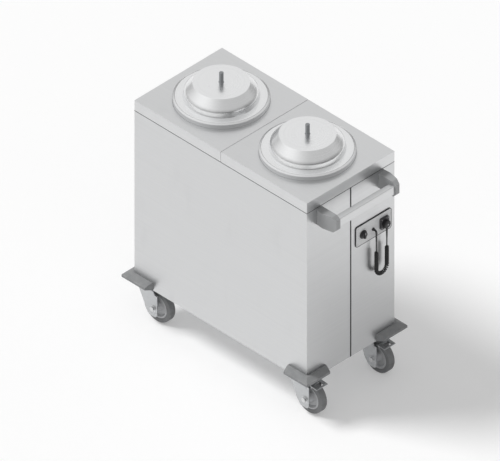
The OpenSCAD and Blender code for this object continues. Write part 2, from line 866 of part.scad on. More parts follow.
// Blind socket that the plug is parked in: a frame on the panel and a cup behind it
module parking_socket() {
    bore_l = pin_l + pin_room;
    cup_l = bore_l + socket_end_t - socket_d;
    color("dimgray") difference() {
        union() {
            slab_x(panel_x1, socket_d) translate([socket_y, socket_z])
                rounded_rect(socket_w, socket_h, socket_corner);
            translate([panel_x1 - cup_l, socket_y, socket_z]) rotate([0, 90, 0])
                cylinder(r = cup_r, h = cup_l + socket_d / 2, $fn = mid_fn);
        }
        for (s = [-1, 1])
            translate([panel_x1 + socket_d - bore_l, socket_y + s * pin_gap, socket_z])
                rotate([0, 90, 0]) cylinder(r = pin_r + pin_room, h = bore_l + over, $fn = small_fn);
    }
}

// Cable gland: nut behind the panel, stem through it, flange and dome in front
module cord_gland() {
    flange = panel_t + gland_flange_l;
    color("black") turned_x(end_x, gland_y, gland_z) polygon([
        [0, -gland_nut_l], [gland_nut_r, -gland_nut_l], [gland_nut_r, 0], [gland_stem_r, 0],
        [gland_stem_r, panel_t], [gland_flange_r, panel_t], [gland_flange_r, flange],
        [gland_dome_r, flange], [gland_dome_r - over, flange + gland_dome_l / 2],
        [gland_mouth_r, flange + gland_dome_l], [0, flange + gland_dome_l]
    ]);
}

// Cord

function unit(v) = v / norm(v);
function tangent(route, i) =
    unit(route[min(i + 1, len(route) - 1)] - route[max(i - 1, 0)]);

// A tube swept along a route as one polyhedron. Each ring starts at its own side direction, one
// for every point of the route
module swept_tube(route, side_dirs, sides) {
    n = len(route);
    step = 360 / sides;
    rings = [for (i = [0:n - 1])
        let (
            t = tangent(route, i),
            u = unit(side_dirs[i] - t * (side_dirs[i] * t)),
            w = cross(t, u)
        )
        for (k = [0:sides - 1]) route[i] + cord_d / 2 * (u * cos(k * step) + w * sin(k * step))];
    walls = [for (i = [0:n - 2], k = [0:sides - 1])
        let (a = i * sides + k, b = i * sides + (k + 1) % sides)
        for (face = [[a, b + sides, b], [a, a + sides, b + sides]]) face];
    first_cap = [for (k = [1:sides - 2]) [0, k, k + 1]];
    last_cap = [for (k = [1:sides - 2]) [0, k + 1, k] + (n - 1) * sides * [1, 1, 1]];
    polyhedron(points = rings, faces = concat(walls, first_cap, last_cap));
}

// Lead from the gland, bent over and straight down to the curly stretch
module cord_supply_lead() {
    color("black") swept_tube(supply_route, [for (p = supply_route) [0, 1, 0]], cord_sides);
}

// Straight lead between the curly stretch and the plug
module cord_plug_lead() {
    color("black") swept_tube(plug_route, [for (p = plug_route) [0, 1, 0]], cord_sides);
}

// The curly stretch hangs as a U of two legs and a half turn. u_turn is the angle round the half
// turn at a length s along its middle line, u_point the place there and u_side the way out
bend_l = PI * curl_bend;
curl_len = 2 * curl_leg + bend_l;
function u_turn(s) = 180 + min(max((s - curl_leg) / bend_l, 0), 1) * 180;
function u_side(s) = [0, cos(u_turn(s)), sin(u_turn(s))];
function u_point(s) =
    curl_start + curl_bend * ([0, 1, 0] + u_side(s))
    - [0, 0, curl_stub + min(s, curl_leg) - max(s - curl_leg - bend_l, 0)];

// Length along the middle line after a number of curls, which are wider apart in the half turn
function wound(c) =
    (min(c, leg_curls) + max(c - leg_curls - bend_curls, 0)) * curl_leg / leg_curls
    + min(max(c - leg_curls, 0), bend_curls) * bend_l / bend_curls;

// The curls start and end on the middle line and open out over one curl
function ease(t) = let (e = min(max(t, 0), 1)) e * e * (3 - 2 * e);
function curl_way(c) = u_side(wound(c)) * cos(c * 360) + [1, 0, 0] * sin(c * 360);
function curl_point(c) = u_point(wound(c)) + curl_r * ease(c) * ease(curls - c) * curl_way(c);
turns = [for (i = [0:curls * curl_rings]) i / curl_rings];
curl_route = concat(
    [curl_start],
    [for (c = turns) curl_point(c)],
    [curl_start + [0, 2 * curl_bend, 0]]
);

// Least gap between neighbouring curls, measured between points most of a curl or more apart
curl_self_gap = min([for (i = [0:len(curl_route) - 1], k = [curl_rings - 2:curl_rings + 3])
    i + k < len(curl_route) ? norm(curl_route[i + k] - curl_route[i]) : curl_len]) - cord_d;
echo(curl_self_gap = curl_self_gap);

// One unbroken helix round the U
module cord_coil() {
    ways = concat([curl_way(0)], [for (c = turns) curl_way(c)], [curl_way(curls)]);
    color("black") swept_tube(curl_route, ways, curl_sides);
}

// Round angled plug: flat body on the socket, a cord boss below and two round pins
module mains_plug() {
    x0 = panel_x1 + socket_d;
    exit = plug_route[0];
    color("black") union() {
        turned_x(x0, socket_y, socket_z) polygon([
            [0, 0], [plug_r, 0], [plug_r, plug_t - plug_round],
            [plug_r - plug_round, plug_t], [0, plug_t]
        ]);
        translate([exit[0], socket_y, exit[2]]) rotate_extrude($fn = mid_fn) polygon([
            [0, 0], [plug_mouth_r, 0], [plug_boss_r, plug_boss_h / 2],
            [plug_boss_r, plug_boss_h], [0, plug_boss_h]
        ]);
        for (s = [-1, 1]) translate([x0 - pin_l, socket_y + s * pin_gap, socket_z])
            rotate([0, 90, 0]) cylinder(r = pin_r, h = pin_l + over, $fn = small_fn);
    }
}

// Bumpers

// One leg, with the casing's corner at the origin and the body below and left of it: it lies on
// the face across X, from the mitre to its tapered end
module bumper_leg_solid() {
    intersection() {
        translate([0, 0, body_z - over]) linear_extrude(bumper_h + 2 * over) polygon([
            [0, 0], [bumper_reach, bumper_reach], [bumper_reach, bumper_taper - bumper_leg],
            [0, -bumper_leg]
        ]);
        slab_y((bumper_reach - bumper_leg) / 2, bumper_leg + bumper_reach + over) polygon([
            [0, body_z], [bumper_reach, bumper_lip_z0], [bumper_reach, bumper_lip_z1],
            [bumper_flat, bumper_z1], [0, bumper_z1]
        ]);
    }
}

module bumper(front, left) {
    color("gray") translate([front ? end_x : far_x, left ? -half_w : half_w, 0])
        mirror([front ? 0 : 1, 0, 0]) mirror([0, left ? 1 : 0, 0]) {
            bumper_leg_solid();
            mirror([1, -1, 0]) bumper_leg_solid();
        }
}

// Castors

// The four fixed halves: top plate, upper race and kingpin with its riveted head
module castor_plates() {
    head_z = crown_z0 - seat_gap - kingpin_head_h;
    color("silver") for (front = [true, false], left = [true, false]) at_castor(front, left) {
        translate([-castor_plate_l / 2, -castor_plate_w / 2, castor_plate_z])
            cube([castor_plate_l, castor_plate_w, castor_plate_t]);
        translate([0, 0, race_mid])
            cylinder(r = race_r - race_step, h = race_h / 2, $fn = mid_fn);
        translate([0, 0, head_z]) cylinder(r = kingpin_r, h = race_mid - head_z, $fn = mid_fn);
        translate([0, 0, head_z])
            cylinder(r = kingpin_head_r, h = kingpin_head_h, $fn = mid_fn);
    }
}

// Side outline of the fork: crown above, slanted leading edge, rounded foot, upright tail
function cheek_outline() =
    let (
        foot_z = axle_z - fork_foot,
        tail_x = trail + fork_tail,
        toe_x = trail - fork_tail
    )
    concat(
        [[crown_x0, crown_z1], [toe_x - cheek_toe, foot_z + cheek_toe]],
        arc(toe_x + cheek_toe / 2, foot_z + cheek_toe, cheek_toe, 215, 270, toe_steps),
        arc(tail_x - cheek_round, foot_z + cheek_round, cheek_round, 270, 360, tail_steps),
        [[tail_x, cheek_top], [crown_x1 + crown_step, cheek_top], [crown_x1, crown_z1]]
    );

// Pressed fork: crown, two cheeks and the lower race, with bores for kingpin, axle and pedal
module castor_fork(front, left) {
    color("silver") at_castor(front, left) difference() {
        union() {
            translate([crown_x0, -fork_half, crown_z0]) cube([crown_x1 - crown_x0, 2 * fork_half, fork_t]);
            for (s = [-1, 1]) slab_y(s * (fork_half - fork_t / 2), fork_t) polygon(cheek_outline());
            translate([0, 0, crown_z1]) cylinder(r = race_r, h = race_low_h, $fn = mid_fn);
        }
        translate([0, 0, crown_z0 - over])
            cylinder(r = kingpin_r + running, h = fork_t + race_h + over, $fn = mid_fn);
        translate([trail, 0, axle_z]) rotate([90, 0, 0])
            cylinder(r = axle_r + running, h = 2 * (fork_half + over), center = true, $fn = mid_fn);
        if (front) translate([pivot_x, 0, pivot_z]) rotate([90, 0, 0])
            cylinder(r = pivot_r + running, h = 2 * (fork_half + over), center = true, $fn = small_fn);
    }
}

// Axle bolt through both cheeks and the hub, with washers, a hexagon head and a nut
module castor_axle(front, left) {
    color("gainsboro") at_castor(front, left) translate([trail, 0, axle_z]) rotate([90, 0, 0]) {
        cylinder(r = axle_r, h = 2 * (fork_half + washer_t + axle_head_h), center = true, $fn = mid_fn);
        for (s = [-1, 1]) {
            translate([0, 0, s * (fork_half + washer_t / 2)])
                cylinder(r = washer_r, h = washer_t, center = true, $fn = mid_fn);
            translate([0, 0, s * (fork_half + washer_t + axle_head_h / 2)])
                cylinder(r = axle_head_r, h = axle_head_h, center = true, $fn = 6);
        }
    }
}

// Tyre with chamfered shoulders
module wheel_tyre(front, left) {
    r = wheel_d / 2;
    color("dimgray") at_castor(front, left) translate([trail, 0, axle_z]) rotate([90, 0, 0])
        rotate_extrude($fn = large_fn) polygon([
            [hub_r, -wheel_w / 2], [r - tyre_chamfer, -wheel_w / 2], [r, tyre_chamfer - wheel_w / 2],
            [r, wheel_w / 2 - tyre_chamfer], [r - tyre_chamfer, wheel_w / 2], [hub_r, wheel_w / 2]
        ]);
}

// Wheel centre: rim, thin web and long boss with the axle's bore
module wheel_hub(front, left) {
    rim = wheel_w / 2 - hub_rim_in;
    boss = fork_half - fork_t - hub_gap;
    bore = axle_r + running;
    color("lightgray") at_castor(front, left) translate([trail, 0, axle_z]) rotate([90, 0, 0])
        rotate_extrude($fn = large_fn) polygon([
            [bore, -boss], [hub_boss_r, -boss], [hub_boss_r + hub_web, -hub_web],
            [hub_r - hub_rim_w - hub_web, -hub_web], [hub_r - hub_rim_w, -rim], [hub_r, -rim],
            [hub_r, rim], [hub_r - hub_rim_w, rim], [hub_r - hub_rim_w - hub_web, hub_web],
            [hub_boss_r + hub_web, hub_web], [hub_boss_r, boss], [bore, boss]
        ]);
}

// Brake pedal: a sloping tread with a window, on two arms that turn on stub pivots in the cheeks
module brake_pedal(left) {
    arm_mid = pedal_arm_y + pedal_arm_t / 2;
    stub = fork_half - pedal_arm_y - pedal_arm_t / 2;
    color("dimgray") at_castor(true, left) {
        translate([tread_x0, 0, tread_z1]) rotate([0, tread_fall, 0]) difference() {
            translate([0, -tread_w / 2, -tread_t]) cube([tread_l, tread_w, tread_t]);
            translate([(tread_l - tread_window_l) / 2, -tread_window_w / 2, -tread_t - over])
                cube([tread_window_l, tread_window_w, tread_t + 2 * over]);
        }
        for (s = [-1, 1]) {
            slab_y(s * arm_mid, pedal_arm_t) polygon([
                [pivot_x - pedal_eye_w, pivot_z - pedal_eye_h],
                [pivot_x + pedal_eye_w, pivot_z - pedal_eye_h],
                [tread_x0 + tread_l / 3, tread_z1 - tread_t - pedal_neck],
                [tread_x0 + tread_l / 3, tread_z1 - tread_t + pedal_neck],
                [tread_x0, tread_z1 - pedal_neck],
                [pivot_x - pedal_eye_w, pivot_z + pedal_eye_h]
            ]);
            translate([pivot_x, s * (arm_mid + stub / 2), pivot_z]) rotate([90, 0, 0])
                cylinder(r = pivot_r, h = stub, center = true, $fn = small_fn);
        }
    }
}

casing_left();
casing_right();
deck_front();
deck_rear();
centre_beam();
base_pan();
chassis_channel(true);  // chassis_channel_front
chassis_channel(false);  // chassis_channel_rear
well_tube(true);  // well_tube_front
well_tube(false);  // well_tube_rear
well_collar(true);  // well_collar_front
well_collar(false);  // well_collar_rear
well_floor(true);  // well_floor_front
well_floor(false);  // well_floor_rear
heater(true);  // heater_front
heater(false);  // heater_rear
platform(true);  // platform_front
platform(false);  // platform_rear
lift_springs(true);  // lift_springs_front
lift_springs(false);  // lift_springs_rear
lid(true);  // lid_front
lid(false);  // lid_rear
lid_knob(true);  // lid_knob_front
lid_knob(false);  // lid_knob_rear
handle_bar();
handle_bracket_left();
handle_bracket_right();
control_panel();
control_box();
switch_body();
switch_knob();
parking_socket();
cord_gland();
cord_supply_lead();
cord_coil();
cord_plug_lead();
mains_plug();
bumper(true, true);  // bumper_front_left
bumper(true, false);  // bumper_front_right
bumper(false, true);  // bumper_rear_left
bumper(false, false);  // bumper_rear_right
castor_plates();
castor_fork(true, true);  // castor_fork_front_left
castor_fork(true, false);  // castor_fork_front_right
castor_fork(false, true);  // castor_fork_rear_left
castor_fork(false, false);  // castor_fork_rear_right
castor_axle(true, true);  // castor_axle_front_left
castor_axle(true, false);  // castor_axle_front_right
castor_axle(false, true);  // castor_axle_rear_left
castor_axle(false, false);  // castor_axle_rear_right
wheel_tyre(true, true);  // wheel_tyre_front_left
wheel_tyre(true, false);  // wheel_tyre_front_right
wheel_tyre(false, true);  // wheel_tyre_rear_left
wheel_tyre(false, false);  // wheel_tyre_rear_right
wheel_hub(true, true);  // wheel_hub_front_left
wheel_hub(true, false);  // wheel_hub_front_right
wheel_hub(false, true);  // wheel_hub_rear_left
wheel_hub(false, false);  // wheel_hub_rear_right
brake_pedal(true);  // brake_pedal_front_left
brake_pedal(false);  // brake_pedal_front_right
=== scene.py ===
import json
import math

import bmesh
import bpy
from bpy.props import FloatProperty, FloatVectorProperty, IntProperty, PointerProperty
from mathutils import Matrix, Vector


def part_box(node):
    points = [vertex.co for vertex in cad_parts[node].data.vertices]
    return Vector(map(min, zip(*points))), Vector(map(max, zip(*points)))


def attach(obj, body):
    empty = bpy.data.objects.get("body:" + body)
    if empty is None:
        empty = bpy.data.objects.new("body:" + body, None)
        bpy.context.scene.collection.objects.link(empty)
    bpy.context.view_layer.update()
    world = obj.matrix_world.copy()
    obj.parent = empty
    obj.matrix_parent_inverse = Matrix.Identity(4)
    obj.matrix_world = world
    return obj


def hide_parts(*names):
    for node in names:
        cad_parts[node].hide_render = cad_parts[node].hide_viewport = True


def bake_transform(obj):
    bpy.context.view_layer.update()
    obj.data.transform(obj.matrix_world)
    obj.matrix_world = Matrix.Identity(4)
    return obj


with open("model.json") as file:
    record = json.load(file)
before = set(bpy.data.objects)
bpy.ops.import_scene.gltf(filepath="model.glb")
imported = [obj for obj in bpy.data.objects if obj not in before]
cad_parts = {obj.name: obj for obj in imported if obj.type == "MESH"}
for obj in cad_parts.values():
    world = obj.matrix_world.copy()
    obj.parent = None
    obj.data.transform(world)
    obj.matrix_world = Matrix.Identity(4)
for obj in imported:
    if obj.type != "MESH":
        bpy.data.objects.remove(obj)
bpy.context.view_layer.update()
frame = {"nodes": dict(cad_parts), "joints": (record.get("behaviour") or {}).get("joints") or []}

bl_info = {
    "name": "Plate dispenser cart",
    "version": (1, 0, 0),
    "blender": (4, 5, 0),
    "location": "3D View > Sidebar > Cart",
    "description": "Finishes and small fittings of a two-well plate dispenser cart",
    "category": "Object",
}

ENDS = ("front", "rear")
SIDES = ("left", "right")
CORNERS = [f"{end}_{side}" for end in ENDS for side in SIDES]
FULL_TURN = 2 * math.pi
WHITE = (1.0, 1.0, 1.0, 1.0)
ROOM_GREY = (0.8, 0.8, 0.8, 1.0)

# The photograph's view: degrees round the cart and above the horizon, then metres
VIEW_TURN, VIEW_DOWN = 45, 36.87
VIEW_MIDDLE = Vector((-0.0720, -0.0216, 0.450))
VIEW_WIDTH, VIEW_DISTANCE, VIEW_END = 1.6667, 4.0, 30.0

# Grain in each metre: lines across and along the brushing, and rings of spinning and turning
BRUSH_FINE, BRUSH_LONG, SPUN_RINGS, TOOL_RINGS = 1500.0, 4.0, 1100.0, 1700.0

# Spacing and height of the casing's spot welds
WELD_PITCH, WELD_HEIGHT = 0.058, 0.163

# Points nearer than this become one
MERGE = 0.000002

# The lift springs: radius of their circle, outer radius, shank length, and degrees round it
SPRING_CIRCLE, SPRING_RADIUS, SPRING_SHANK = 0.15850, 0.0060, 0.0105
SPRING_TURNS = (90, 210, 330)

# The castors: thickness of the top plate, half spacings of its bolts, height of the race seal
PLATE_THICK, BOLT_HALF_X, BOLT_HALF_Y, RACE_HEIGHT = 0.004, 0.034, 0.029, 0.141


def joint_place(name):
    """The point in space that a joint turns about."""
    return Vector(next(j["pos_m"] for j in frame["joints"] if j["name"] == name))


def middle(node):
    """The middle of a node's box."""
    low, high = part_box(node)
    return (low + high) / 2


def corner_places(node, inset):
    """Places near the four corners of a node's front face."""
    low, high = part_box(node)
    return [(high.x, y, z) for y in (low.y + inset, high.y - inset)
            for z in (low.z + inset, high.z - inset)]


# Sizes and colours that a user would change


def distance(name, description, default, low, high):
    """A size property in metres, with the names that the panel shows."""
    return FloatProperty(
        name=name, description=description, default=default, min=low, max=high, unit="LENGTH",
        precision=5)


class CartSizes(bpy.types.PropertyGroup):
    """Sizes of the edges, the cord and the small fittings"""

    sheet_edge: distance(
        "Sheet edge", "Rounding of the folds and cut edges of the sheet metal",
        0.0005, 0.0001, 0.0007)
    moulded_edge: distance(
        "Moulded edge", "Rounding of the edges of plastic and rubber pieces",
        0.0016, 0.0003, 0.002)
    machined_edge: distance(
        "Machined edge", "Rounding of the edges of turned and forged pieces",
        0.0005, 0.0001, 0.001)
    cord: distance("Cord", "Diameter of the mains cord", 0.0046, 0.004, 0.005)
    curl: distance(
        "Curl", "Radius of the curls at the middle of the cord", 0.0052, 0.005, 0.0055)
    curl_points: IntProperty(
        name="Points of a curl", description="Points on the cord's line for each of its curls",
        default=16, min=12, max=24)
    screw_head: distance(
        "Screw head", "Radius of the control panel's screw heads", 0.0028, 0.002, 0.003)
    bolt_head: distance(
        "Bolt head", "Radius across corners of the castor bolts", 0.0075, 0.005, 0.009)
    # Painted shade: the edging is a black strip that stands in for the shadow round the panel's
    # plate
    shadow_edging: distance(
        "Edging", "Width of the rubber edging round the panel's plate", 0.0020, 0.001, 0.003)
    strip: distance(
        "Joint strip", "Width of the strips over the casing's upright joints",
        0.0048, 0.0035, 0.007)
    spring_wire: distance(
        "Spring wire", "Radius of the lift springs' wire", 0.0008, 0.0006, 0.001)


def colour(name, description, default):
    """A colour property with the names that the panel shows."""
    return FloatVectorProperty(
        name=name, description=description, default=default, subtype="COLOR", size=3,
        min=0.0, max=1.0)


class CartColours(bpy.types.PropertyGroup):
    """Colours of the finishes"""

    sheet: colour("Sheet", "Brushed stainless sheet of the casing", (0.67, 0.675, 0.68))
    deck: colour("Deck", "Brushed stainless sheet of the deck", (0.70, 0.705, 0.71))
    lid: colour("Lid", "Spun stainless lids", (0.86, 0.865, 0.87))
    collar: colour("Collar", "Spun collars of the wells", (0.70, 0.705, 0.71))
    zinc: colour("Zinc", "Zinc plated steel of the chassis and castors", (0.56, 0.57, 0.58))
    bar: colour("Bar", "Polished tube of the handle", (0.70, 0.705, 0.71))
    bracket: colour("Bracket", "Moulded plastic of the handle's brackets", (0.36, 0.365, 0.37))
    bumper: colour("Bumper", "Rubber of the corner bumpers", (0.25, 0.255, 0.26))
    panel: colour("Panel", "Moulded plate of the control panel", (0.74, 0.745, 0.75))
    dark: colour("Dark plastic", "Knob, socket and plug", (0.022, 0.022, 0.024))
    cord: colour("Cord", "Cover of the mains cord", (0.016, 0.016, 0.017))
    tyre: colour("Tyre", "Non-marking rubber of the tyres", (0.20, 0.203, 0.207))
    hub: colour("Hub", "Moulded wheel centres", (0.52, 0.525, 0.535))
    knob: colour("Lid knob", "Turned pegs on the lids", (0.30, 0.31, 0.32))
    # Black of the castors' race seals and the joint strips, and of the bead under the deck and the
    # strip round the panel, which are painted shade standing in for the shadows in those gaps
    seal_and_shadow_black: colour("Seals", "Rubber seals under the deck and round the panel", (0.03, 0.03, 0.032))
    mark: colour("Marks", "Printed marks of the dial", (0.03, 0.03, 0.03))
    floor: colour("Floor", "Floor of the studio", (0.90, 0.90, 0.90))


# Materials


class Wire:
    """An output socket. Arithmetic on it adds Math nodes, so that a mask is an expression."""

    def __init__(self, paint, socket):
        self.paint, self.socket = paint, socket

    def maths(self, operation, *values):
        """One Math node on these values."""
        return self.paint.node("Math", dict(enumerate(values)), operation=operation)

    def __add__(self, other):
        return self.maths("ADD", self, other)

    def __sub__(self, other):
        return self.maths("SUBTRACT", self, other)

    def __rsub__(self, other):
        return self.maths("SUBTRACT", other, self)

    def __mul__(self, other):
        return self.maths("MULTIPLY", self, other)

    def __truediv__(self, other):
        return self.maths("DIVIDE", self, other)

    def __abs__(self):
        return self.maths("ABSOLUTE", self)

    __radd__ = __add__
    __rmul__ = __mul__

    def fraction(self):
        """What is left after the whole number."""
        return self.maths("FRACT", self)

    def larger(self, other):
        """The larger of two values."""
        return self.maths("MAXIMUM", self, other)

    def rise(self, low, high):
        """0 below low, 1 above high, and smooth between them. Low may be the higher number."""
        return self.paint.node(
            "MapRange", {"Value": self, "From Min": low, "From Max": high},
            interpolation_type="SMOOTHSTEP")


class Paint:
    """A material, or the world, with the calls that add nodes to it."""

    def __init__(self, name, owners=None, output="OutputMaterial", place="Object"):
        self.material = (bpy.data.materials if owners is None else owners).new(name)
        self.material.use_nodes = True
        self.tree = self.material.node_tree
        self.tree.nodes.clear()
        self.output = self.tree.nodes.new("ShaderNode" + output)
        self.place = self.node("TexCoord", out=place)

    def node(self, kind, sockets=None, out=0, **settings):
        """A node of a kind, with the values or wires of its sockets, and its settings."""
        made = self.tree.nodes.new("ShaderNode" + kind)
        for name, value in settings.items():
            setattr(made, name, value)
        for name, value in (sockets or {}).items():
            if isinstance(value, Wire):
                self.tree.links.new(value.socket, made.inputs[name])
            else:
                made.inputs[name].default_value = value
        return Wire(self, made.outputs[out])

    def about(self, centre, scale=(1, 1, 1)):
        """Object coordinates measured from a centre, and scaled."""
        moved = self.node("VectorMath", {0: self.place, 1: centre}, operation="SUBTRACT")
        return self.node("Mapping", {"Vector": moved, "Scale": scale})

    def parts(self, vector):
        """A vector's three numbers."""
        wire = self.node("SeparateXYZ", {0: vector})
        outputs = wire.socket.node.outputs
        return [Wire(self, outputs[i]) for i in range(3)]

    def vector(self, x, y, z):
        """A vector from three numbers."""
        return self.node("CombineXYZ", {0: x, 1: y, 2: z})

    def from_axis(self, x, y):
        """How far a place is from an axis, from its two numbers across the axis."""
        return self.node("VectorMath", {0: self.vector(x, y, 0.0)}, "Value", operation="LENGTH")

    def facing(self, axis):
        """How much the surface looks along an axis, from -1 to 1. X is 0, Y is 1 and Z is 2."""
        return self.parts(self.node("NewGeometry", out="Normal"))[axis]

    def noise(self, vector, scale, detail=2.0, roughness=0.5):
        """Cloudy noise from 0 to 1."""
        return self.node("TexNoise", {
            "Vector": vector, "Scale": scale, "Detail": detail, "Roughness": roughness})

    def seen(self):
        """1 for rays from the camera, from a gloss or through glass, 0 for the light's own."""
        path = self.node("LightPath", out="Is Camera Ray")
        outputs = path.socket.node.outputs
        glossy = Wire(self, outputs["Is Glossy Ray"])
        return path.larger(glossy).larger(Wire(self, outputs["Is Transmission Ray"]))

    def towards(self, direction):
        """How nearly the place, taken as a direction, points this way, from -1 to 1."""
        return self.node(
            "VectorMath", {0: self.place, 1: Vector(direction).normalized()}, "Value",
            operation="DOT_PRODUCT")

    def mix(self, mask, first, second):
        """The first colour where the mask is 0 and the second where it is 1."""
        return self.node(
            "Mix", {0: mask, 6: rgba(first), 7: rgba(second)}, 2, data_type="RGBA",
            clamp_factor=True)

    def surface(self, colour, roughness, metallic, bumps, gloss=0.5):
        """Ends the material in one shader. Bumps pair a height in metres with a strength."""
        normal = {}
        for height, strength in bumps:
            sockets = {"Height": height, "Strength": strength, "Distance": 1.0, **normal}
            normal = {"Normal": self.node("Bump", sockets)}
        return self.ends_in(self.node("BsdfPrincipled", {
            "Base Color": rgba(colour), "Roughness": roughness, "Metallic": metallic,
            "Specular IOR Level": gloss, **normal}))

    def ends_in(self, shader):
        """Ends the material in a shader, and gives the material."""
        self.tree.links.new(shader.socket, self.output.inputs["Surface"])
        return self.material


def rgba(value):
    """A colour with its alpha, or a wire as it is."""
    return value if isinstance(value, Wire) else (*value, 1.0)


def shade(value, factor):
    """A colour made lighter or darker."""
    return tuple(min(1.0, part * factor) for part in value)


def brushed(name, tint, along="sides", roughness=0.34, metallic=1.0):
    """Stainless sheet, brushed level on the sides, or along the length on the deck, with faint
    wiping marks, and spot welds near the lower edge of the casing."""
    paint = Paint(name)
    x, y, z = paint.parts(paint.place)
    if along == "sides":
        across_y = BRUSH_LONG
    else:
        end_face = abs(paint.facing(0)).rise(0.5, 0.8)
        across_y = BRUSH_FINE - (BRUSH_FINE - BRUSH_LONG) * end_face
    lines = paint.vector(x * BRUSH_LONG, y * across_y, z * BRUSH_FINE)
    fine = paint.noise(lines, 1.0, 3.0, 0.7)
    coarse = paint.noise(lines, 0.16)
    wiped = paint.noise(paint.about((0, 0, 0), (1.0, 1.0, 2.6)), 3.2, 3.0, 0.55)
    smear = paint.noise(paint.about((0.3, 0.2, 0), (2.2, 2.2, 0.7)), 7.0, 4.0, 0.6)
    smear = smear.rise(0.56, 0.72)
    rough = roughness + 0.13 * (fine - 0.5) + 0.12 * (wiped - 0.5) + 0.08 * smear
    tone = 0.30 * coarse + 0.12 * wiped + 0.58 * fine
    base = paint.mix(tone, shade(tint, 0.87), shade(tint, 1.10))
    bumps = [(0.000030 * fine, 0.5), (0.0004 * wiped, 0.10)]
    if along == "sides":
        level = (((x + y) / WELD_PITCH).fraction() - 0.5) * WELD_PITCH
        spot = (level * level + (z - WELD_HEIGHT) * (z - WELD_HEIGHT)).rise(0.0000110, 0.0000040)
        bumps.append((-0.00008 * spot, 0.6))
        rough = rough + 0.08 * spot
    return paint.surface(base, rough, metallic, bumps)


def spun(name, tint, centre, roughness):
    """Metal turned or spun about an upright axis, with fine rings and a faint sweep of light."""
    paint = Paint(name)
    about = paint.about((centre[0], centre[1], 0))
    x, y, z = paint.parts(about)
    rings = paint.vector(paint.from_axis(x, y) * SPUN_RINGS, z * SPUN_RINGS, 0.0)
    fine = paint.noise(rings, 1.0, 3.0, 0.7)
    coarse = paint.noise(rings, 0.11)
    wiped = paint.noise(about, 9.0, 3.0, 0.55)
    prints = paint.noise(about, 38.0, 4.0, 0.6).rise(0.62, 0.74)
    rough = roughness + 0.12 * (fine - 0.5) + 0.10 * (wiped - 0.5) + 0.07 * prints
    base = paint.mix(0.6 * coarse + 0.4 * wiped, shade(tint, 0.92), shade(tint, 1.05))
    return paint.surface(base, rough, 1.0, [(0.000010 * fine, 0.4)])


def drawn(name, tint, axis):
    """Stainless tube polished along its length, with soft hand marks."""
    paint = Paint(name)
    lines = paint.vector(*(
        part * (5.0 if "XYZ"[i] == axis else BRUSH_FINE)
        for i, part in enumerate(paint.parts(paint.place))))
    fine = paint.noise(lines, 1.0, 3.0, 0.7)
    coarse = paint.noise(lines, 0.14)
    hands = paint.noise(paint.place, 24.0, 4.0, 0.6)
    base = paint.mix(0.6 * coarse + 0.4 * hands, shade(tint, 0.88), shade(tint, 1.05))
    rough = 0.32 + 0.08 * (fine - 0.5) + 0.12 * (hands - 0.5)
    return paint.surface(base, rough, 1.0, [(0.000008 * fine, 0.4)])


def turned(name, tint, centre, axis, roughness=0.28):
    """Plated or turned steel with tool rings about an axis along X, Y or Z."""
    paint = Paint(name)
    about = paint.about(centre)
    across = paint.parts(about)
    along = across.pop("XYZ".index(axis))
    rings = paint.vector(paint.from_axis(*across) * TOOL_RINGS, along * TOOL_RINGS, 0.0)
    fine = paint.noise(rings, 1.0)
    stain = paint.noise(about, 60.0, 3.0)
    base = paint.mix(stain, shade(tint, 0.88), shade(tint, 1.06))
    rough = roughness + 0.14 * (fine - 0.5) + 0.12 * (stain - 0.5)
    return paint.surface(base, rough, 1.0, [(0.000012 * fine, 0.4)])


def plated(name, tint, roughness=0.40):
    """Zinc plated sheet: faint clouds, drawing marks, and dull dirt low down."""
    paint = Paint(name)
    low = paint.parts(paint.place)[2].rise(0.15, 0.01)
    clouds = paint.noise(paint.place, 26.0, 4.0, 0.6)
    flakes = paint.node("TexVoronoi", {"Vector": paint.place, "Scale": 170.0}, "Distance")
    grime = (paint.noise(paint.place, 110.0, 6.0, 0.7) + low * 0.10).rise(0.58, 0.86)
    grey = paint.mix(clouds, shade(tint, 0.88), shade(tint, 1.08))
    base = paint.mix(grime * 0.34, grey, (0.20, 0.19, 0.18))
    rough = roughness + 0.16 * (clouds - 0.5) + 0.12 * (flakes - 0.4) + 0.14 * grime
    return paint.surface(base, rough, 1.0 - 0.30 * grime, [(0.00004 * flakes, 0.3)])


def moulded(name, tint, roughness, grain=1500.0, depth=0.00003, wear=0.35):
    """Moulded plastic with a fine eroded grain, slight flow clouds and rubbed patches."""
    paint = Paint(name)
    grains = paint.noise(paint.place, grain, 2.0, 0.6)
    flow = paint.noise(paint.about((0.1, 0.4, 0.2), (1.0, 1.0, 0.6)), 21.0, 3.0)
    rubbed = paint.noise(paint.about((0.7, 0.1, 0.3)), 85.0, 4.0, 0.65).rise(0.60, 0.76)
    base = paint.mix(flow, shade(tint, 0.93), shade(tint, 1.07))
    lighter = tuple(min(1.0, part * 1.12 + 0.012) for part in tint)
    base = paint.mix(rubbed * wear, base, lighter)
    rough = roughness + 0.10 * (flow - 0.5) - 0.12 * rubbed
    return paint.surface(base, rough, 0.0, [(depth * grains, 0.5)])


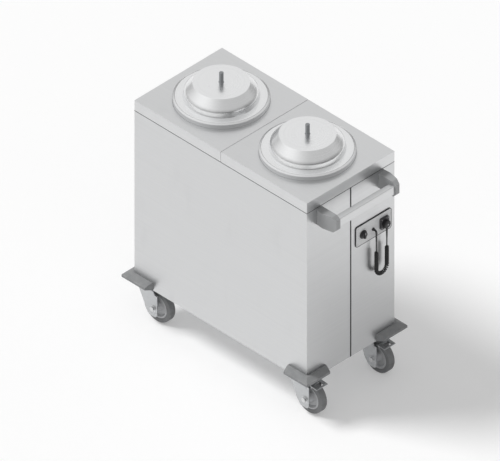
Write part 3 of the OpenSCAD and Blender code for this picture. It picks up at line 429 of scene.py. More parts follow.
def bumper_rubber(name, tint, half_x, half_y, centre_x, reach):
    """Grey rubber with a fine matt skin, scuffed and streaked where it meets walls."""
    paint = Paint(name)
    x, y, z = paint.parts(paint.place)
    out = (abs(x - centre_x) - half_x).larger(abs(y) - half_y)
    lip = out.rise(reach - 0.004, reach - 0.0005)
    streaks = paint.noise(paint.vector(x * 22.0, y * 22.0, z * 700.0), 1.0, 5.0, 0.7)
    blots = paint.noise(paint.place, 42.0, 5.0, 0.65)
    skin = paint.noise(paint.place, 1900.0)
    scuff = lip * (streaks * 0.6 + blots * 0.5).rise(0.54, 0.72)
    dust = paint.facing(2).rise(0.3, 0.9) * blots.rise(0.30, 0.80)
    base = paint.mix(blots, shade(tint, 0.90), shade(tint, 1.10))
    base = paint.mix(scuff * 0.45, base, shade(tint, 1.9))
    base = paint.mix(dust * 0.14, base, (0.55, 0.54, 0.52))
    rough = 0.68 + 0.12 * (blots - 0.5) - 0.10 * scuff
    return paint.surface(
        base, rough, 0.0, [(0.00005 * skin, 0.6), (0.00010 * scuff, 0.3)], gloss=0.4)


def tyre_rubber(name, tint, centre, radius):
    """Non-marking tyre: matt sides with mould rings, and a dirty tread that is worn paler."""
    paint = Paint(name)
    about = paint.about(centre)
    x, _, z = paint.parts(about)
    out = paint.from_axis(x, z)
    tread = out.rise(radius - 0.0035, radius - 0.001)
    blots = paint.noise(about, 90.0, 6.0, 0.7)
    skin = paint.noise(about, 1500.0)
    rings = paint.noise(paint.vector(out * 700.0, 0.0, 0.0), 1.0, 1.0)
    dirt = (blots + 0.12 * tread).rise(0.50, 0.86)
    base = paint.mix(blots, shade(tint, 0.88), shade(tint, 1.10))
    base = paint.mix(tread * 0.45, base, shade(tint, 1.45))
    base = paint.mix(dirt * tread * 0.40, base, (0.12, 0.115, 0.11))
    rough = 0.62 + 0.16 * tread + 0.10 * (blots - 0.5)
    side = 1.0 - tread
    return paint.surface(
        base, rough, 0.0, [(0.00005 * skin, 0.5), (0.00006 * rings * side, 0.4)], gloss=0.4)


def cord_cover(name, tint):
    """Smooth black cord cover, a little dusty in patches."""
    paint = Paint(name)
    patches = paint.noise(paint.place, 120.0, 4.0, 0.6)
    skin = paint.noise(paint.place, 2400.0)
    base = paint.mix(patches.rise(0.55, 0.80) * 0.5, tint, shade(tint, 2.2))
    return paint.surface(base, 0.36 + 0.16 * (patches - 0.5), 0.0, [(0.00002 * skin, 0.4)])


def scorched(name, tint):
    """Heating tube: dark oxide with straw and blue tints."""
    paint = Paint(name)
    clouds = paint.noise(paint.place, 18.0, 4.0, 0.6)
    specks = paint.noise(paint.place, 420.0, 3.0)
    base = paint.mix(clouds.rise(0.35, 0.65), tint, (0.20, 0.16, 0.12))
    base = paint.mix(specks.rise(0.55, 0.7) * 0.4, base, (0.09, 0.10, 0.13))
    return paint.surface(base, 0.52 + 0.2 * (clouds - 0.5), 0.85, [(0.00003 * specks, 0.5)])


def printed(name, tint):
    """Thin ink with a slightly uneven cover."""
    paint = Paint(name)
    cover = paint.noise(paint.place, 2600.0, 3.0)
    return paint.surface(
        paint.mix(cover.rise(0.25, 0.8), shade(tint, 1.6), tint), 0.5 + 0.1 * cover, 0.0,
        [(0.000008 * cover, 0.4)])


# Shapes


def dress(node, material, edge=0.0, segments=2):
    """Gives a CAD node its material, and rounds its sharp edges with modifiers."""
    obj = frame["nodes"][node]
    obj.data.materials.clear()
    obj.data.materials.append(material)
    if edge:
        obj.modifiers.new("merge", "WELD").merge_threshold = 0.00001
        bevel = obj.modifiers.new("edges", "BEVEL")
        bevel.width = edge
        bevel.segments = segments
        bevel.limit_method = "ANGLE"
        bevel.angle_limit = math.radians(28)
        normals = obj.modifiers.new("normals", "WEIGHTED_NORMAL")
        normals.mode = "FACE_AREA_WITH_ANGLE"
        normals.weight = 60
    return obj


def add_object(name, data):
    """A new object in the scene."""
    obj = bpy.data.objects.new(name, data)
    bpy.context.scene.collection.objects.link(obj)
    return obj


def to_piece(name, bm, material, body="cart"):
    """Makes a finished bmesh an object, which rides on a body unless that is None."""
    bmesh.ops.remove_doubles(bm, verts=bm.verts, dist=MERGE)
    bmesh.ops.recalc_face_normals(bm, faces=bm.faces)
    mesh = bpy.data.meshes.new(name)
    bm.to_mesh(mesh)
    bm.free()
    mesh.shade_smooth()
    mesh.set_sharp_from_angle(angle=math.radians(35))
    mesh.materials.append(material)
    obj = add_object(name, mesh)
    if body:
        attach(obj, body)
    return obj


def turn_matrix(place, axis):
    """Stands the Z axis along another axis and moves it to a place."""
    turns = {
        "Z": Matrix.Identity(4), "-Z": Matrix.Rotation(math.pi, 4, "X"),
        "X": Matrix.Rotation(math.pi / 2, 4, "Y"),
    }
    return Matrix.Translation(place) @ turns[axis]


def add_turned(bm, profile, place, axis, steps):
    """Adds a solid of revolution. Its profile is pairs of a place along the axis and a radius."""
    one = bmesh.new()
    verts = [one.verts.new((radius, 0, along)) for along, radius in profile]
    edges = [one.edges.new(pair) for pair in zip(verts, verts[1:])]
    bmesh.ops.spin(
        one, geom=verts + edges, cent=(0, 0, 0), axis=(0, 0, 1), angle=FULL_TURN, steps=steps,
        use_merge=True)
    bmesh.ops.remove_doubles(one, verts=one.verts, dist=MERGE)
    join(bm, one, turn_matrix(place, axis))


def join(bm, other, matrix):
    """Adds a bmesh to another one at a place, and frees it."""
    bmesh.ops.transform(other, matrix=matrix, verts=other.verts)
    mesh = bpy.data.meshes.new("joined")
    other.to_mesh(mesh)
    other.free()
    bm.from_mesh(mesh)
    bpy.data.meshes.remove(mesh)


def round_edges(bm, edge, segments):
    """Rounds all the edges of a bmesh."""
    bmesh.ops.bevel(
        bm, geom=bm.edges[:], offset=edge, affect="EDGES", segments=segments, profile=0.5,
        material=-1, clamp_overlap=True)


def add_block(bm, size, place, edge, turn=Matrix.Identity(4), segments=2):
    """Adds a block with rounded edges."""
    one = bmesh.new()
    bmesh.ops.create_cube(one, size=1.0)
    bmesh.ops.scale(one, vec=size, verts=one.verts)
    round_edges(one, edge, segments)
    join(bm, one, Matrix.Translation(place) @ turn)


def add_hexagon(bm, radius, height, place, axis):
    """Adds a hexagon head with rounded edges."""
    one = bmesh.new()
    bmesh.ops.create_cone(
        one, cap_ends=True, segments=6, radius1=radius, radius2=radius, depth=height)
    bmesh.ops.translate(one, vec=(0, 0, height / 2), verts=one.verts)
    round_edges(one, 0.0006, 2)
    join(bm, one, turn_matrix(place, axis))


def add_socket_screw(bm, radius, height, place, axis):
    """Adds a cap head with a round recess for its key. Its foot is sunk in what carries it."""
    chamfer, sunk, floor = 0.0004, -0.0002, height - 0.0016
    add_turned(bm, [
        (floor, 0.0), (floor, radius * 0.48), (height, radius * 0.54),
        (height, radius - chamfer), (height - chamfer, radius), (sunk, radius), (sunk, 0.0),
    ], place, axis, 24)


def add_frame(bm, size, width, height, corner, place, axis="Z"):
    """Adds a flat ring with rounded corners, which lies on a plane across an axis."""
    one = bmesh.new()
    bmesh.ops.create_grid(one, x_segments=1, y_segments=1, size=0.5)
    bmesh.ops.scale(one, vec=(size[0], size[1], 1), verts=one.verts)
    bmesh.ops.bevel(
        one, geom=one.verts[:], offset=corner, affect="VERTICES", segments=6, profile=0.5,
        material=-1)
    inner = one.faces[:]
    bmesh.ops.inset_region(
        one, faces=inner, thickness=width, use_even_offset=True, use_boundary=True)
    bmesh.ops.delete(one, geom=inner, context="FACES")
    raised = bmesh.ops.extrude_face_region(one, geom=one.faces[:])
    verts = [item for item in raised["geom"] if isinstance(item, bmesh.types.BMVert)]
    bmesh.ops.translate(one, vec=(0, 0, height), verts=verts)
    join(bm, one, turn_matrix(place, axis))


def curve_piece(name, points, radius, material, sizes=None):
    """A round cord along points. Sizes are shares of the radius, one for each point."""
    data = bpy.data.curves.new(name, "CURVE")
    data.dimensions = "3D"
    data.bevel_depth = radius
    data.bevel_resolution = 3
    data.use_fill_caps = True
    spline = data.splines.new("POLY")
    spline.points.add(len(points) - 1)
    for i, point in enumerate(points):
        spline.points[i].co = (*point, 1.0)
        spline.points[i].radius = sizes[i] if sizes else 1.0
    data.materials.append(material)
    obj = add_object(name, data)
    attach(obj, "cart")
    return obj


# The mains cord's line, in metres: the straight leads, and the U that the curls wind round

SUPPLY_ROUTE = [(x, 0.1025, z) for x, z in (
    (0.391, 0.632), (0.393, 0.632), (0.395, 0.6315), (0.397, 0.630), (0.3985, 0.628),
    (0.3995, 0.6255), (0.400, 0.622), (0.400, 0.611), (0.400, 0.599), (0.400, 0.587),
    (0.400, 0.575), (0.400, 0.564), (0.400, 0.552),
)]
PLUG_ROUTE = [(0.400, 0.1515, z) for z in (0.615, 0.604, 0.592, 0.578, 0.565, 0.552)]
CURL_START = Vector(SUPPLY_ROUTE[-1])
CURL_STUB, CURL_BEND, CURL_LEG = 0.005, 0.0245, 0.076
LEG_CURLS, BEND_CURLS = 14, 11
CURLS = 2 * LEG_CURLS + BEND_CURLS
BEND_LENGTH = math.pi * CURL_BEND


def clamp(value):
    """A number kept from 0 to 1."""
    return min(max(value, 0.0), 1.0)


def curl_point(curls, radius):
    """The place on the cord after a number of curls."""
    legs = min(curls, LEG_CURLS) + max(curls - LEG_CURLS - BEND_CURLS, 0)
    bends = min(max(curls - LEG_CURLS, 0), BEND_CURLS)
    along = legs * CURL_LEG / LEG_CURLS + bends * BEND_LENGTH / BEND_CURLS
    turn = math.pi * (1 + clamp((along - CURL_LEG) / BEND_LENGTH))
    side = Vector((0, math.cos(turn), math.sin(turn)))
    drop = CURL_STUB + min(along, CURL_LEG) - max(along - CURL_LEG - BEND_LENGTH, 0)
    middle_line = CURL_START + CURL_BEND * (Vector((0, 1, 0)) + side) - Vector((0, 0, drop))
    start, end = clamp(curls), clamp(CURLS - curls)
    opened = start * start * (3 - 2 * start) * end * end * (3 - 2 * end)
    wound = FULL_TURN * curls
    way = side * math.cos(wound) + Vector((1, 0, 0)) * math.sin(wound)
    return middle_line + radius * opened * way


def length_of(points):
    """Length of a line through points."""
    return sum((b - a).length for a, b in zip(points, points[1:]))


class CartOperator:
    """What the operators share"""

    bl_options = {"REGISTER"}

    @staticmethod
    def choices(context):
        """The sizes and colours of this scene."""
        return context.scene.cart_sizes, context.scene.cart_colours


class CART_OT_stage(CartOperator, bpy.types.Operator):
    """Makes the camera, the lamps, the pale floor and the world"""

    bl_idname = "cart.make_stage"
    bl_label = "Camera, lamps and floor"

    def execute(self, context):
        _, colours = self.choices(context)
        scene = context.scene
        scene.view_settings.view_transform = "Standard"
        self.camera(scene)
        self.floor(colours)
        self.world(scene)
        for name, strength, spread, aim in (
            ("key_lamp", 2.15, 20, (0.60, 0.46, -1.0)),
            ("side_lamp", 0.22, 70, (-0.75, 0.55, -0.60)),
        ):
            lamp = bpy.data.lights.new(name, "SUN")
            lamp.energy = strength
            lamp.angle = math.radians(spread)
            obj = add_object(name, lamp)
            obj.rotation_euler = Vector(aim).to_track_quat("-Z", "Y").to_euler()
            obj.visible_glossy = False
        return {"FINISHED"}

    @staticmethod
    def camera(scene):
        """The photograph's view: no perspective, from the front left corner, looking down."""
        data = bpy.data.cameras.new("camera")
        data.type = "ORTHO"
        data.ortho_scale = VIEW_WIDTH
        data.clip_end = VIEW_END
        camera = add_object("camera", data)
        level, up = math.radians(VIEW_TURN), math.radians(VIEW_DOWN)
        back = Vector((
            math.sin(level) * math.cos(up), -math.cos(level) * math.cos(up), math.sin(up)))
        camera.location = VIEW_MIDDLE + back * VIEW_DISTANCE
        camera.rotation_euler = (-back).to_track_quat("-Z", "Y").to_euler()
        scene.camera = camera

    @staticmethod
    def floor(colours):
        """A floor that stays pale to the eye and in reflections, keeps the shadow, and doesn't
        show from below."""
        bm = bmesh.new()
        bmesh.ops.create_circle(bm, cap_ends=True, segments=64, radius=14.0)
        mesh = bpy.data.meshes.new("floor")
        bm.to_mesh(mesh)
        bm.free()
        floor = add_object("floor", mesh)
        paint = Paint("studio_floor")
        matt = paint.node("BsdfDiffuse", {"Color": rgba(colours.floor)})
        half = paint.node("BsdfDiffuse", {"Color": rgba(shade(colours.floor, 0.85))})
        glow = paint.node("Emission", {"Color": WHITE, "Strength": 0.26})
        pale = paint.node("AddShader", {0: half, 1: glow})
        above = paint.node("MixShader", {0: paint.seen(), 1: matt, 2: pale})
        below = paint.node("BsdfTransparent")
        under = paint.node("NewGeometry", out="Backfacing")
        mixed = paint.node("MixShader", {0: under, 1: above, 2: below})
        mesh.materials.append(paint.ends_in(mixed))

    @staticmethod
    def world(scene):
        """Plain light from all round. The eye and the gloss of metal see a pale room, with a
        soft box on the left and a dimmer wall on the right."""
        paint = Paint("studio", bpy.data.worlds, "OutputWorld", "Generated")
        height = paint.towards((0, 0, 1))
        box = paint.towards((-0.75, -0.45, 0.62)).rise(0.50, 0.92)
        wall = paint.towards((0.85, -0.10, 0.30)).rise(0.30, 0.92)
        room = 0.44 + 0.66 * height.rise(-0.05, 0.60) + 0.25 * box - 0.34 * wall
        light = paint.node("Background", {"Color": ROOM_GREY, "Strength": 0.44})
        gloss = paint.node("Background", {"Color": ROOM_GREY, "Strength": room})
        plain = paint.node("Background", {"Color": WHITE, "Strength": 0.98})
        lit = paint.node("MixShader", {0: paint.seen(), 1: light, 2: gloss})
        camera = paint.node("LightPath", out="Is Camera Ray")
        scene.world = paint.ends_in(paint.node("MixShader", {0: camera, 1: lit, 2: plain}))


class CART_OT_cord(CartOperator, bpy.types.Operator):
    """Makes the curly mains cord, its strain reliefs and the plug's finish"""

    bl_idname = "cart.make_cord"
    bl_label = "Mains cord and plug"

    def execute(self, context):
        sizes, colours = self.choices(context)
        cover = cord_cover("cord_cover", colours.cord)
        dark = moulded("plug_plastic", colours.dark, 0.40)
        steps = range(CURLS * sizes.curl_points + 1)
        curls = [curl_point(i / sizes.curl_points, sizes.curl) for i in steps]
        line = [*map(Vector, SUPPLY_ROUTE), *curls, *map(Vector, PLUG_ROUTE[::-1])]
        cord = curve_piece("mains_cord", line, sizes.cord / 2, cover)
        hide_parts("cord_supply_lead", "cord_coil", "cord_plug_lead")
        plug = dress("mains_plug", dark, sizes.machined_edge)
        boots = [
            self.boot("gland_boot", SUPPLY_ROUTE[:10], 0.0037, 0.0027, 6, dark),
            self.boot("plug_boot", PLUG_ROUTE[:4], 0.0034, 0.0026, 5, dark),
            *self.plug_grip(dark, turned("plug_screw_zinc", colours.zinc, (0, 0, 0), "X", 0.30)),
        ]
        length_of(line)
        return {"FINISHED"}

    @staticmethod
    def plug_grip(plastic, steel):
        """Grip ribs round the plug's rim, a raised ring on its face and the screw inside it."""
        low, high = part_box("mains_plug")
        radius = (high.y - low.y) / 2
        centre = Vector((high.x, (low.y + high.y) / 2, high.z - radius))
        rib, behind, places = (0.0088, 0.0011, 0.0012), Vector((0.0078, 0, 0)), 36
        bm = bmesh.new()
        for i in range(3, places - 2):  # none at the bottom, where the cord enters
            turn = Matrix.Rotation(math.pi + FULL_TURN * i / places, 4, "X")
            add_block(bm, rib, centre + turn @ Vector((0, 0, radius)) - behind, 0.0004, turn)
        add_turned(bm, [
            (-0.0004, 0.0078), (0.0003, 0.0080), (0.0005, 0.0084), (0.0005, 0.0090),
            (0.0003, 0.0094), (-0.0004, 0.0096), (-0.0004, 0.0078),
        ], centre, "X", 48)
        ribs = to_piece("plug_ribs", bm, plastic)
        bm = bmesh.new()
        add_socket_screw(bm, 0.0026, 0.0007, centre, "X")
        return ribs, to_piece("plug_screw", bm, steel)

    @staticmethod
    def boot(name, route, thick, thin, ribs, material):
        """A sleeve that tapers along the cord, with ribs on all but its last fifth."""
        points = smooth_line([Vector(p) for p in route], 72)
        sizes = []
        for i in range(len(points)):
            share = i / (len(points) - 1)
            rib = 0.10 * max(0.0, math.cos(FULL_TURN * ribs * share)) ** 2
            sizes.append((1 - share) + share * thin / thick + (rib if share < 0.8 else 0))
        return curve_piece(name, points, thick, material, sizes)


def smooth_line(points, count):
    """Points at even steps along a line through others."""
    total = length_of(points)
    made, walked, i = [], 0.0, 0
    for k in range(count):
        wanted = total * k / (count - 1)
        while i < len(points) - 2 and walked + length_of(points[i:i + 2]) < wanted:
            walked += length_of(points[i:i + 2])
            i += 1
        share = (wanted - walked) / length_of(points[i:i + 2])
        made.append(points[i].lerp(points[i + 1], clamp(share)))
    return made


class CART_OT_cabinet(CartOperator, bpy.types.Operator):
    """Finishes the casing, the deck and the chassis"""

    bl_idname = "cart.make_cabinet"
    bl_label = "Casing, deck and chassis"

    def execute(self, context):
        sizes, colours = self.choices(context)
        sheet = brushed("casing_steel", colours.sheet)
        deck = brushed("deck_steel", colours.deck, "deck", 0.32)
        zinc = plated("chassis_zinc", colours.zinc)
        for side in SIDES:
            dress(f"casing_{side}", sheet, sizes.sheet_edge)
        for end in ENDS:
            dress(f"deck_{end}", deck, sizes.sheet_edge)
            dress(f"chassis_channel_{end}", zinc, sizes.sheet_edge)
        dress("centre_beam", zinc, sizes.sheet_edge)
        dress("base_pan", zinc, sizes.sheet_edge)
        self.shadow_bead_and_strips(sizes, colours)
        return {"FINISHED"}

    @staticmethod
    def shadow_bead_and_strips(sizes, colours):
        """A black bead in the joint between the casing and the deck, which is painted shade: it
        stands in for the shadow in that gap. Also black rubber strips over the upright joints of
        the two ends."""
        low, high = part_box("casing_left")
        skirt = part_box("deck_front")[0].z
        centre_x, length = (low.x + high.x) / 2, high.x - low.x
        proud, bead, wide, corner = 0.0004, 0.0018, 0.0030, 0.0010
        rubber = moulded("shadow_bead_and_strip_rubber", colours.seal_and_shadow_black, 0.62, 1800.0, 0.00004, 0.2)
        bm = bmesh.new()
        # Painted shade: a black bead that stands in for the shadow in the gap under the deck's
        # skirt
        add_frame(bm, (length + 2 * proud, 2 * (proud - low.y)), wide, bead, corner,
                  (centre_x, 0, skirt - 0.0005 - bead / 2))
        to_piece("deck_shadow_bead", bm, rubber)
        foot, top = low.z + 0.0006, skirt - 0.0012
        middle_z, tall = (foot + top) / 2, top - foot
        cover, tongue = (0.0010, sizes.strip, tall), (0.0030, 0.0024, tall)
        bm = bmesh.new()
        for x, out in ((high.x, 1), (low.x, -1)):
            add_block(bm, cover, (x + out * 0.0004, 0, middle_z), 0.0004)
            add_block(bm, tongue, (x - out * 0.0014, 0, middle_z), 0.0002)
        to_piece("joint_strips", bm, rubber)


class CART_OT_wells(CartOperator, bpy.types.Operator):
    """Finishes the wells and makes their lift springs"""

    bl_idname = "cart.make_wells"
    bl_label = "Wells and platforms"

    def execute(self, context):
        sizes, colours = self.choices(context)
        for end in ENDS:
            centre = middle(f"well_collar_{end}")
            dress(f"well_collar_{end}", spun(f"collar_steel_{end}", colours.collar, centre, 0.25),
                  sizes.machined_edge)
            dress(f"well_tube_{end}", brushed(f"tube_steel_{end}", colours.sheet, metallic=0.55),
                  sizes.sheet_edge)
            dress(f"well_floor_{end}", spun(f"floor_steel_{end}", colours.zinc, centre, 0.42),
                  sizes.sheet_edge)
            dress(f"platform_{end}", spun(f"platform_steel_{end}", colours.lid, centre, 0.36),
                  sizes.sheet_edge)
            dress(f"heater_{end}", scorched(f"heater_oxide_{end}", (0.10, 0.10, 0.11)))
            self.springs(end, sizes, centre, colours)
        return {"FINISHED"}

    @staticmethod
    def springs(end, sizes, centre, colours):
        """Three close-wound extension springs with a straight shank at both ends, made at one
        length and riding on no body; the real ones stretch as the platform sinks."""
        low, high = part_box(f"lift_springs_{end}")
        wire = sizes.spring_wire
        bottom, top = low.z + SPRING_SHANK, high.z - SPRING_SHANK
        pitch = 2.15 * wire
        turns = int((top - bottom) / pitch)
        steps = turns * 12
        wound = (SPRING_RADIUS - wire, 0, bottom)
        bm = bmesh.new()
        for turn in SPRING_TURNS:
            one = bmesh.new()
            made = bmesh.ops.create_circle(one, segments=6, radius=wire)
            stand = Matrix.Translation(wound) @ Matrix.Rotation(math.pi / 2, 4, "X")
            bmesh.ops.transform(one, matrix=stand, verts=made["verts"])
            bmesh.ops.spin(
                one, geom=one.verts[:] + one.edges[:], cent=(0, 0, 0), axis=(0, 0, 1),
                dvec=(0, 0, (top - bottom) / steps), angle=FULL_TURN * turns, steps=steps)
            for z0, z1 in ((low.z + wire, bottom), (top, high.z - wire)):
                shank = bmesh.new()
                bmesh.ops.create_cone(
                    shank, cap_ends=True, segments=10, radius1=wire * 1.3, radius2=wire * 1.3,
                    depth=z1 - z0)
                join(one, shank, Matrix.Translation((0, 0, (z0 + z1) / 2)))
            join(bm, one, Matrix.Translation((centre.x, centre.y, 0))
                 @ Matrix.Rotation(math.radians(turn), 4, "Z")
                 @ Matrix.Translation((SPRING_CIRCLE, 0, 0)))
        steel = turned(f"spring_wire_{end}", colours.zinc, (centre.x, centre.y, 0.8), "Z", 0.34)
        piece = to_piece(f"wound_springs_{end}", bm, steel, None)
        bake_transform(piece)
        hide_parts(f"lift_springs_{end}")


class CART_OT_lids(CartOperator, bpy.types.Operator):
    """Finishes the lids and their pegs"""

    bl_idname = "cart.make_lids"
    bl_label = "Lids"

    def execute(self, context):
        sizes, colours = self.choices(context)
        for end in ENDS:
            centre = middle(f"lid_{end}")
            dress(f"lid_{end}", spun(f"lid_steel_{end}", colours.lid, centre, 0.25),
                  sizes.machined_edge)
            peg = turned(f"peg_steel_{end}", colours.knob, centre, "Z", 0.30)
            dress(f"lid_knob_{end}", peg, sizes.machined_edge)
            low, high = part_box(f"lid_knob_{end}")
            radius, leg = (high.x - low.x) / 2, 0.0018
            inside = radius - 0.002
            bm = bmesh.new()
            add_turned(bm, [
                (0, inside), (0, radius + leg), (0.0006, radius + 0.0015),
                (0.0012, radius + 0.0008), (leg, radius + 0.0002), (leg, inside), (0, inside),
            ], (centre.x, centre.y, low.z), "Z", 40)
            to_piece(f"peg_weld_{end}", bm, peg, f"lid_{end}")
        return {"FINISHED"}


class CART_OT_handle(CartOperator, bpy.types.Operator):
    """Finishes the push handle"""

    bl_idname = "cart.make_handle"
    bl_label = "Push handle"

    def execute(self, context):
        sizes, colours = self.choices(context)
        dress("handle_bar", drawn("bar_steel", colours.bar, "Y"))
        plastic = moulded("bracket_plastic", colours.bracket, 0.50, 1300.0, 0.00005)
        steel = turned("bracket_screw_zinc", colours.zinc, middle("handle_bar"), "Z", 0.34)
        bm = bmesh.new()
        for side in SIDES:
            dress(f"handle_bracket_{side}", plastic, sizes.moulded_edge, 3)
            low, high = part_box(f"handle_bracket_{side}")
            for along in (0.014, 0.034):
                place = (low.x + along, (low.y + high.y) / 2, low.z)
                add_socket_screw(bm, 0.0045, 0.0028, place, "-Z")
        to_piece("bracket_screws", bm, steel)
        return {"FINISHED"}


class CART_OT_controls(CartOperator, bpy.types.Operator):
    """Finishes the control panel and makes its dial marks, screws and knob pointer"""

    bl_idname = "cart.make_controls"
    bl_label = "Control panel"

    def execute(self, context):
        sizes, colours = self.choices(context)
        dark = moulded("control_plastic", colours.dark, 0.44)
        dress("control_panel", moulded("panel_plastic", colours.panel, 0.48, 1700.0),
              sizes.sheet_edge)
        dress("control_box", plated("control_box_zinc", colours.zinc), sizes.sheet_edge)
        dress("switch_body", dark, sizes.machined_edge)
        dress("switch_knob", dark, sizes.machined_edge)
        dress("parking_socket", moulded("socket_plastic", shade(colours.dark, 2.2), 0.42),
              sizes.machined_edge)
        dress("cord_gland", dark, 0.0003)
        self.dial(colours)
        self.screws(sizes, colours)
        self.shadow_edging(sizes, colours)
        return {"FINISHED"}

    @staticmethod
    def shadow_edging(sizes, colours):
        """A thin black strip round the panel's plate, which is painted shade: it stands in for the
        shadow in the gap all round the plate.
        """
        low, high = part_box("control_panel")
        centre, size = (low + high) / 2, high - low
        lip, proud, plate_corner = sizes.shadow_edging * 0.6, 0.00035, 0.008
        bm = bmesh.new()
        # Painted shade: a black frame round the plate that stands in for its shadow gap
        add_frame(bm, (size.z + 2 * lip, size.y + 2 * lip), sizes.shadow_edging, size.x + proud,
                  plate_corner + lip, (low.x, centre.y, centre.z), "X")
        rubber = moulded("shadow_strip_black", colours.seal_and_shadow_black, 0.62, 1800.0, 0.00004, 0.2)
        to_piece("panel_shadow_strip", bm, rubber)

    @staticmethod
    def dial(colours):
        """Marks round the knob, and the pointer on its grip."""
        ink = printed("dial_ink", colours.mark)
        low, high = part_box("switch_knob")
        radius, face = (high.y - low.y) / 2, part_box("control_panel")[1].x
        centre = middle("switch_knob")
        first, step, gap = -135, 27, 0.0028
        bm = bmesh.new()
        for i in range(11):
            turn = Matrix.Rotation(math.radians(first + step * i), 4, "X")
            long = 0.0042 if i % 5 == 0 else 0.0026
            out = turn @ Vector((0, 0, radius + gap + long / 2))
            place = (face + 0.0001, centre.y + out.y, centre.z + out.z)
            add_block(bm, (0.0003, 0.0008, long), place, 0.0001, turn, 1)
        to_piece("dial_marks", bm, ink)
        bm = bmesh.new()
        place = (high.x, centre.y, centre.z + 0.0068)
        add_block(bm, (0.0004, 0.0014, 0.0085), place, 0.00015)
        white = printed("pointer_ink", (0.82, 0.82, 0.80))
        to_piece("knob_pointer", bm, white, "switch_knob")

    @staticmethod
    def screws(sizes, colours):
        """Four domed screws in the panel's corners, and four socket screws in the parking
        socket's."""
        steel = turned("screw_zinc", colours.bar, (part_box("control_panel")[1].x, 0, 0), "X", 0.30)
        head = sizes.screw_head
        dome = [
            (0.0, 0.0), (0.0, head), (0.0005, head), (0.0011, head * 0.86),
            (0.0016, head * 0.55), (0.0018, head * 0.2), (0.0018, 0.0),
        ]
        bm = bmesh.new()
        for x, y, z in corner_places("control_panel", 0.009):
            add_turned(bm, dome, (x - 0.0001, y, z), "X", 24)
        for place in corner_places("parking_socket", 0.0042):
            add_socket_screw(bm, 0.0019, 0.0004, place, "X")
        to_piece("panel_screws", bm, steel)


class CART_OT_bumpers(CartOperator, bpy.types.Operator):
    """Finishes the corner bumpers"""

    bl_idname = "cart.make_bumpers"
    bl_label = "Corner bumpers"

    def execute(self, context):
        sizes, colours = self.choices(context)
        low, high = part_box("casing_left")
        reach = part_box("bumper_front_left")[1].x - high.x
        rubber = bumper_rubber(
            "bumper_rubber", colours.bumper, (high.x - low.x) / 2, -low.y, (high.x + low.x) / 2,
            reach)
        for corner in CORNERS:
            dress(f"bumper_{corner}", rubber, sizes.moulded_edge, 3)
        return {"FINISHED"}


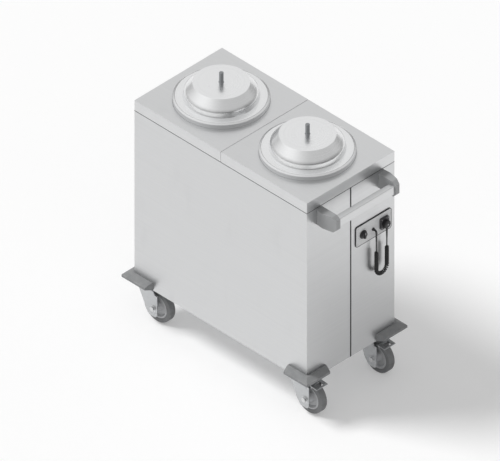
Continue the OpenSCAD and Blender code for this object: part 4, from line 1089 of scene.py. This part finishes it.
class CART_OT_castors(CartOperator, bpy.types.Operator):
    """Finishes the castors and makes their bolts, seals and pedal ridges"""

    bl_idname = "cart.make_castors"
    bl_label = "Castors"

    def execute(self, context):
        sizes, colours = self.choices(context)
        zinc = plated("castor_zinc", colours.zinc, 0.36)
        dress("castor_plates", zinc, sizes.machined_edge)
        for corner in CORNERS:
            axle = joint_place(f"wheel_{corner}_roll")
            low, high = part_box(f"wheel_tyre_{corner}")
            dress(f"castor_fork_{corner}", zinc, sizes.machined_edge)
            dress(f"castor_axle_{corner}", turned(f"axle_zinc_{corner}", colours.bar, axle, "Y"),
                  sizes.machined_edge)
            dress(f"wheel_tyre_{corner}",
                  tyre_rubber(f"tyre_rubber_{corner}", colours.tyre, axle, (high.z - low.z) / 2),
                  sizes.moulded_edge, 3)
            dress(f"wheel_hub_{corner}", moulded(f"hub_plastic_{corner}", colours.hub, 0.45),
                  sizes.machined_edge)
            self.plate_bolts(corner, sizes, colours)
        pedal = plated("pedal_zinc", shade(colours.zinc, 0.85), 0.42)
        for side in SIDES:
            dress(f"brake_pedal_front_{side}", pedal, sizes.machined_edge)
            self.pedal_ridges(side, pedal)
        return {"FINISHED"}

    @staticmethod
    def pedal_ridges(side, material):
        """Pressed ridges across the pedal's tread, before and behind its window."""
        low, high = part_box(f"brake_pedal_front_{side}")
        fall, tread = Matrix.Rotation(math.radians(5), 4, "Y"), 0.0320
        hinge = Vector((high.x - tread, (low.y + high.y) / 2, high.z))
        bm = bmesh.new()
        for along in (0.0020, 0.0285, 0.0305):
            place = hinge + fall.to_3x3() @ Vector((along, 0, 0.0001))
            add_block(bm, (0.0010, 0.046, 0.0008), place, 0.0003, fall)
        to_piece(f"pedal_ridges_{side}", bm, material, f"brake_front_{side}")

    @staticmethod
    def plate_bolts(corner, sizes, colours):
        """Four bolts under a castor's top plate, and the grease seal round its races."""
        pivot = joint_place(f"swivel_{corner}_turn")
        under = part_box("castor_plates")[1].z - PLATE_THICK
        steel = turned(f"bolt_zinc_{corner}", colours.bar, pivot, "Z", 0.32)
        thick, hole, rim = 0.0014, 0.003, 0.0090
        washer = [(0, hole), (0, rim), (thick, rim), (thick, hole), (0, hole)]
        bm = bmesh.new()
        for x in (pivot.x - BOLT_HALF_X, pivot.x + BOLT_HALF_X):
            for y in (pivot.y - BOLT_HALF_Y, pivot.y + BOLT_HALF_Y):
                add_turned(bm, washer, (x, y, under), "-Z", 24)
                add_hexagon(bm, sizes.bolt_head, 0.0052, (x, y, under - thick), "-Z")
        to_piece(f"plate_bolts_{corner}", bm, steel)
        half, inside = 0.0012, 0.0225
        bm = bmesh.new()
        add_turned(bm, [
            (-half, inside), (-half, 0.0247), (0.0, 0.0253), (half, 0.0247), (half, inside),
            (-half, inside),
        ], (pivot.x, pivot.y, RACE_HEIGHT), "Z", 48)
        rubber = moulded(f"race_seal_{corner}", colours.seal_and_shadow_black, 0.60, wear=0.2)
        to_piece(f"race_seal_{corner}", bm, rubber)


class CART_PT_panel(bpy.types.Panel):
    """Lists the pieces of the cart in the sidebar"""

    bl_idname = "CART_PT_panel"
    bl_label = "Plate dispenser cart"
    bl_space_type = "VIEW_3D"
    bl_region_type = "UI"
    bl_category = "Cart"

    def draw(self, context):
        column = self.layout.column()
        for group in (context.scene.cart_sizes, context.scene.cart_colours):
            for name in group.__annotations__:
                column.prop(group, name)
        for operator in OPERATORS:
            column.operator(operator.bl_idname, text=operator.bl_label)


OPERATORS = (
    CART_OT_stage, CART_OT_cord, CART_OT_cabinet, CART_OT_wells, CART_OT_lids, CART_OT_handle,
    CART_OT_controls, CART_OT_bumpers, CART_OT_castors,
)
CLASSES = (CartSizes, CartColours, *OPERATORS, CART_PT_panel)


def register():
    for cls in CLASSES:
        bpy.utils.register_class(cls)
    bpy.types.Scene.cart_sizes = PointerProperty(type=CartSizes)
    bpy.types.Scene.cart_colours = PointerProperty(type=CartColours)


def unregister():
    del bpy.types.Scene.cart_colours
    del bpy.types.Scene.cart_sizes
    for cls in reversed(CLASSES):
        bpy.utils.unregister_class(cls)


def main():
    register()
    for operator in OPERATORS:
        group, name = operator.bl_idname.split(".")
        getattr(getattr(bpy.ops, group), name)()


if __name__ == "__main__":
    main()
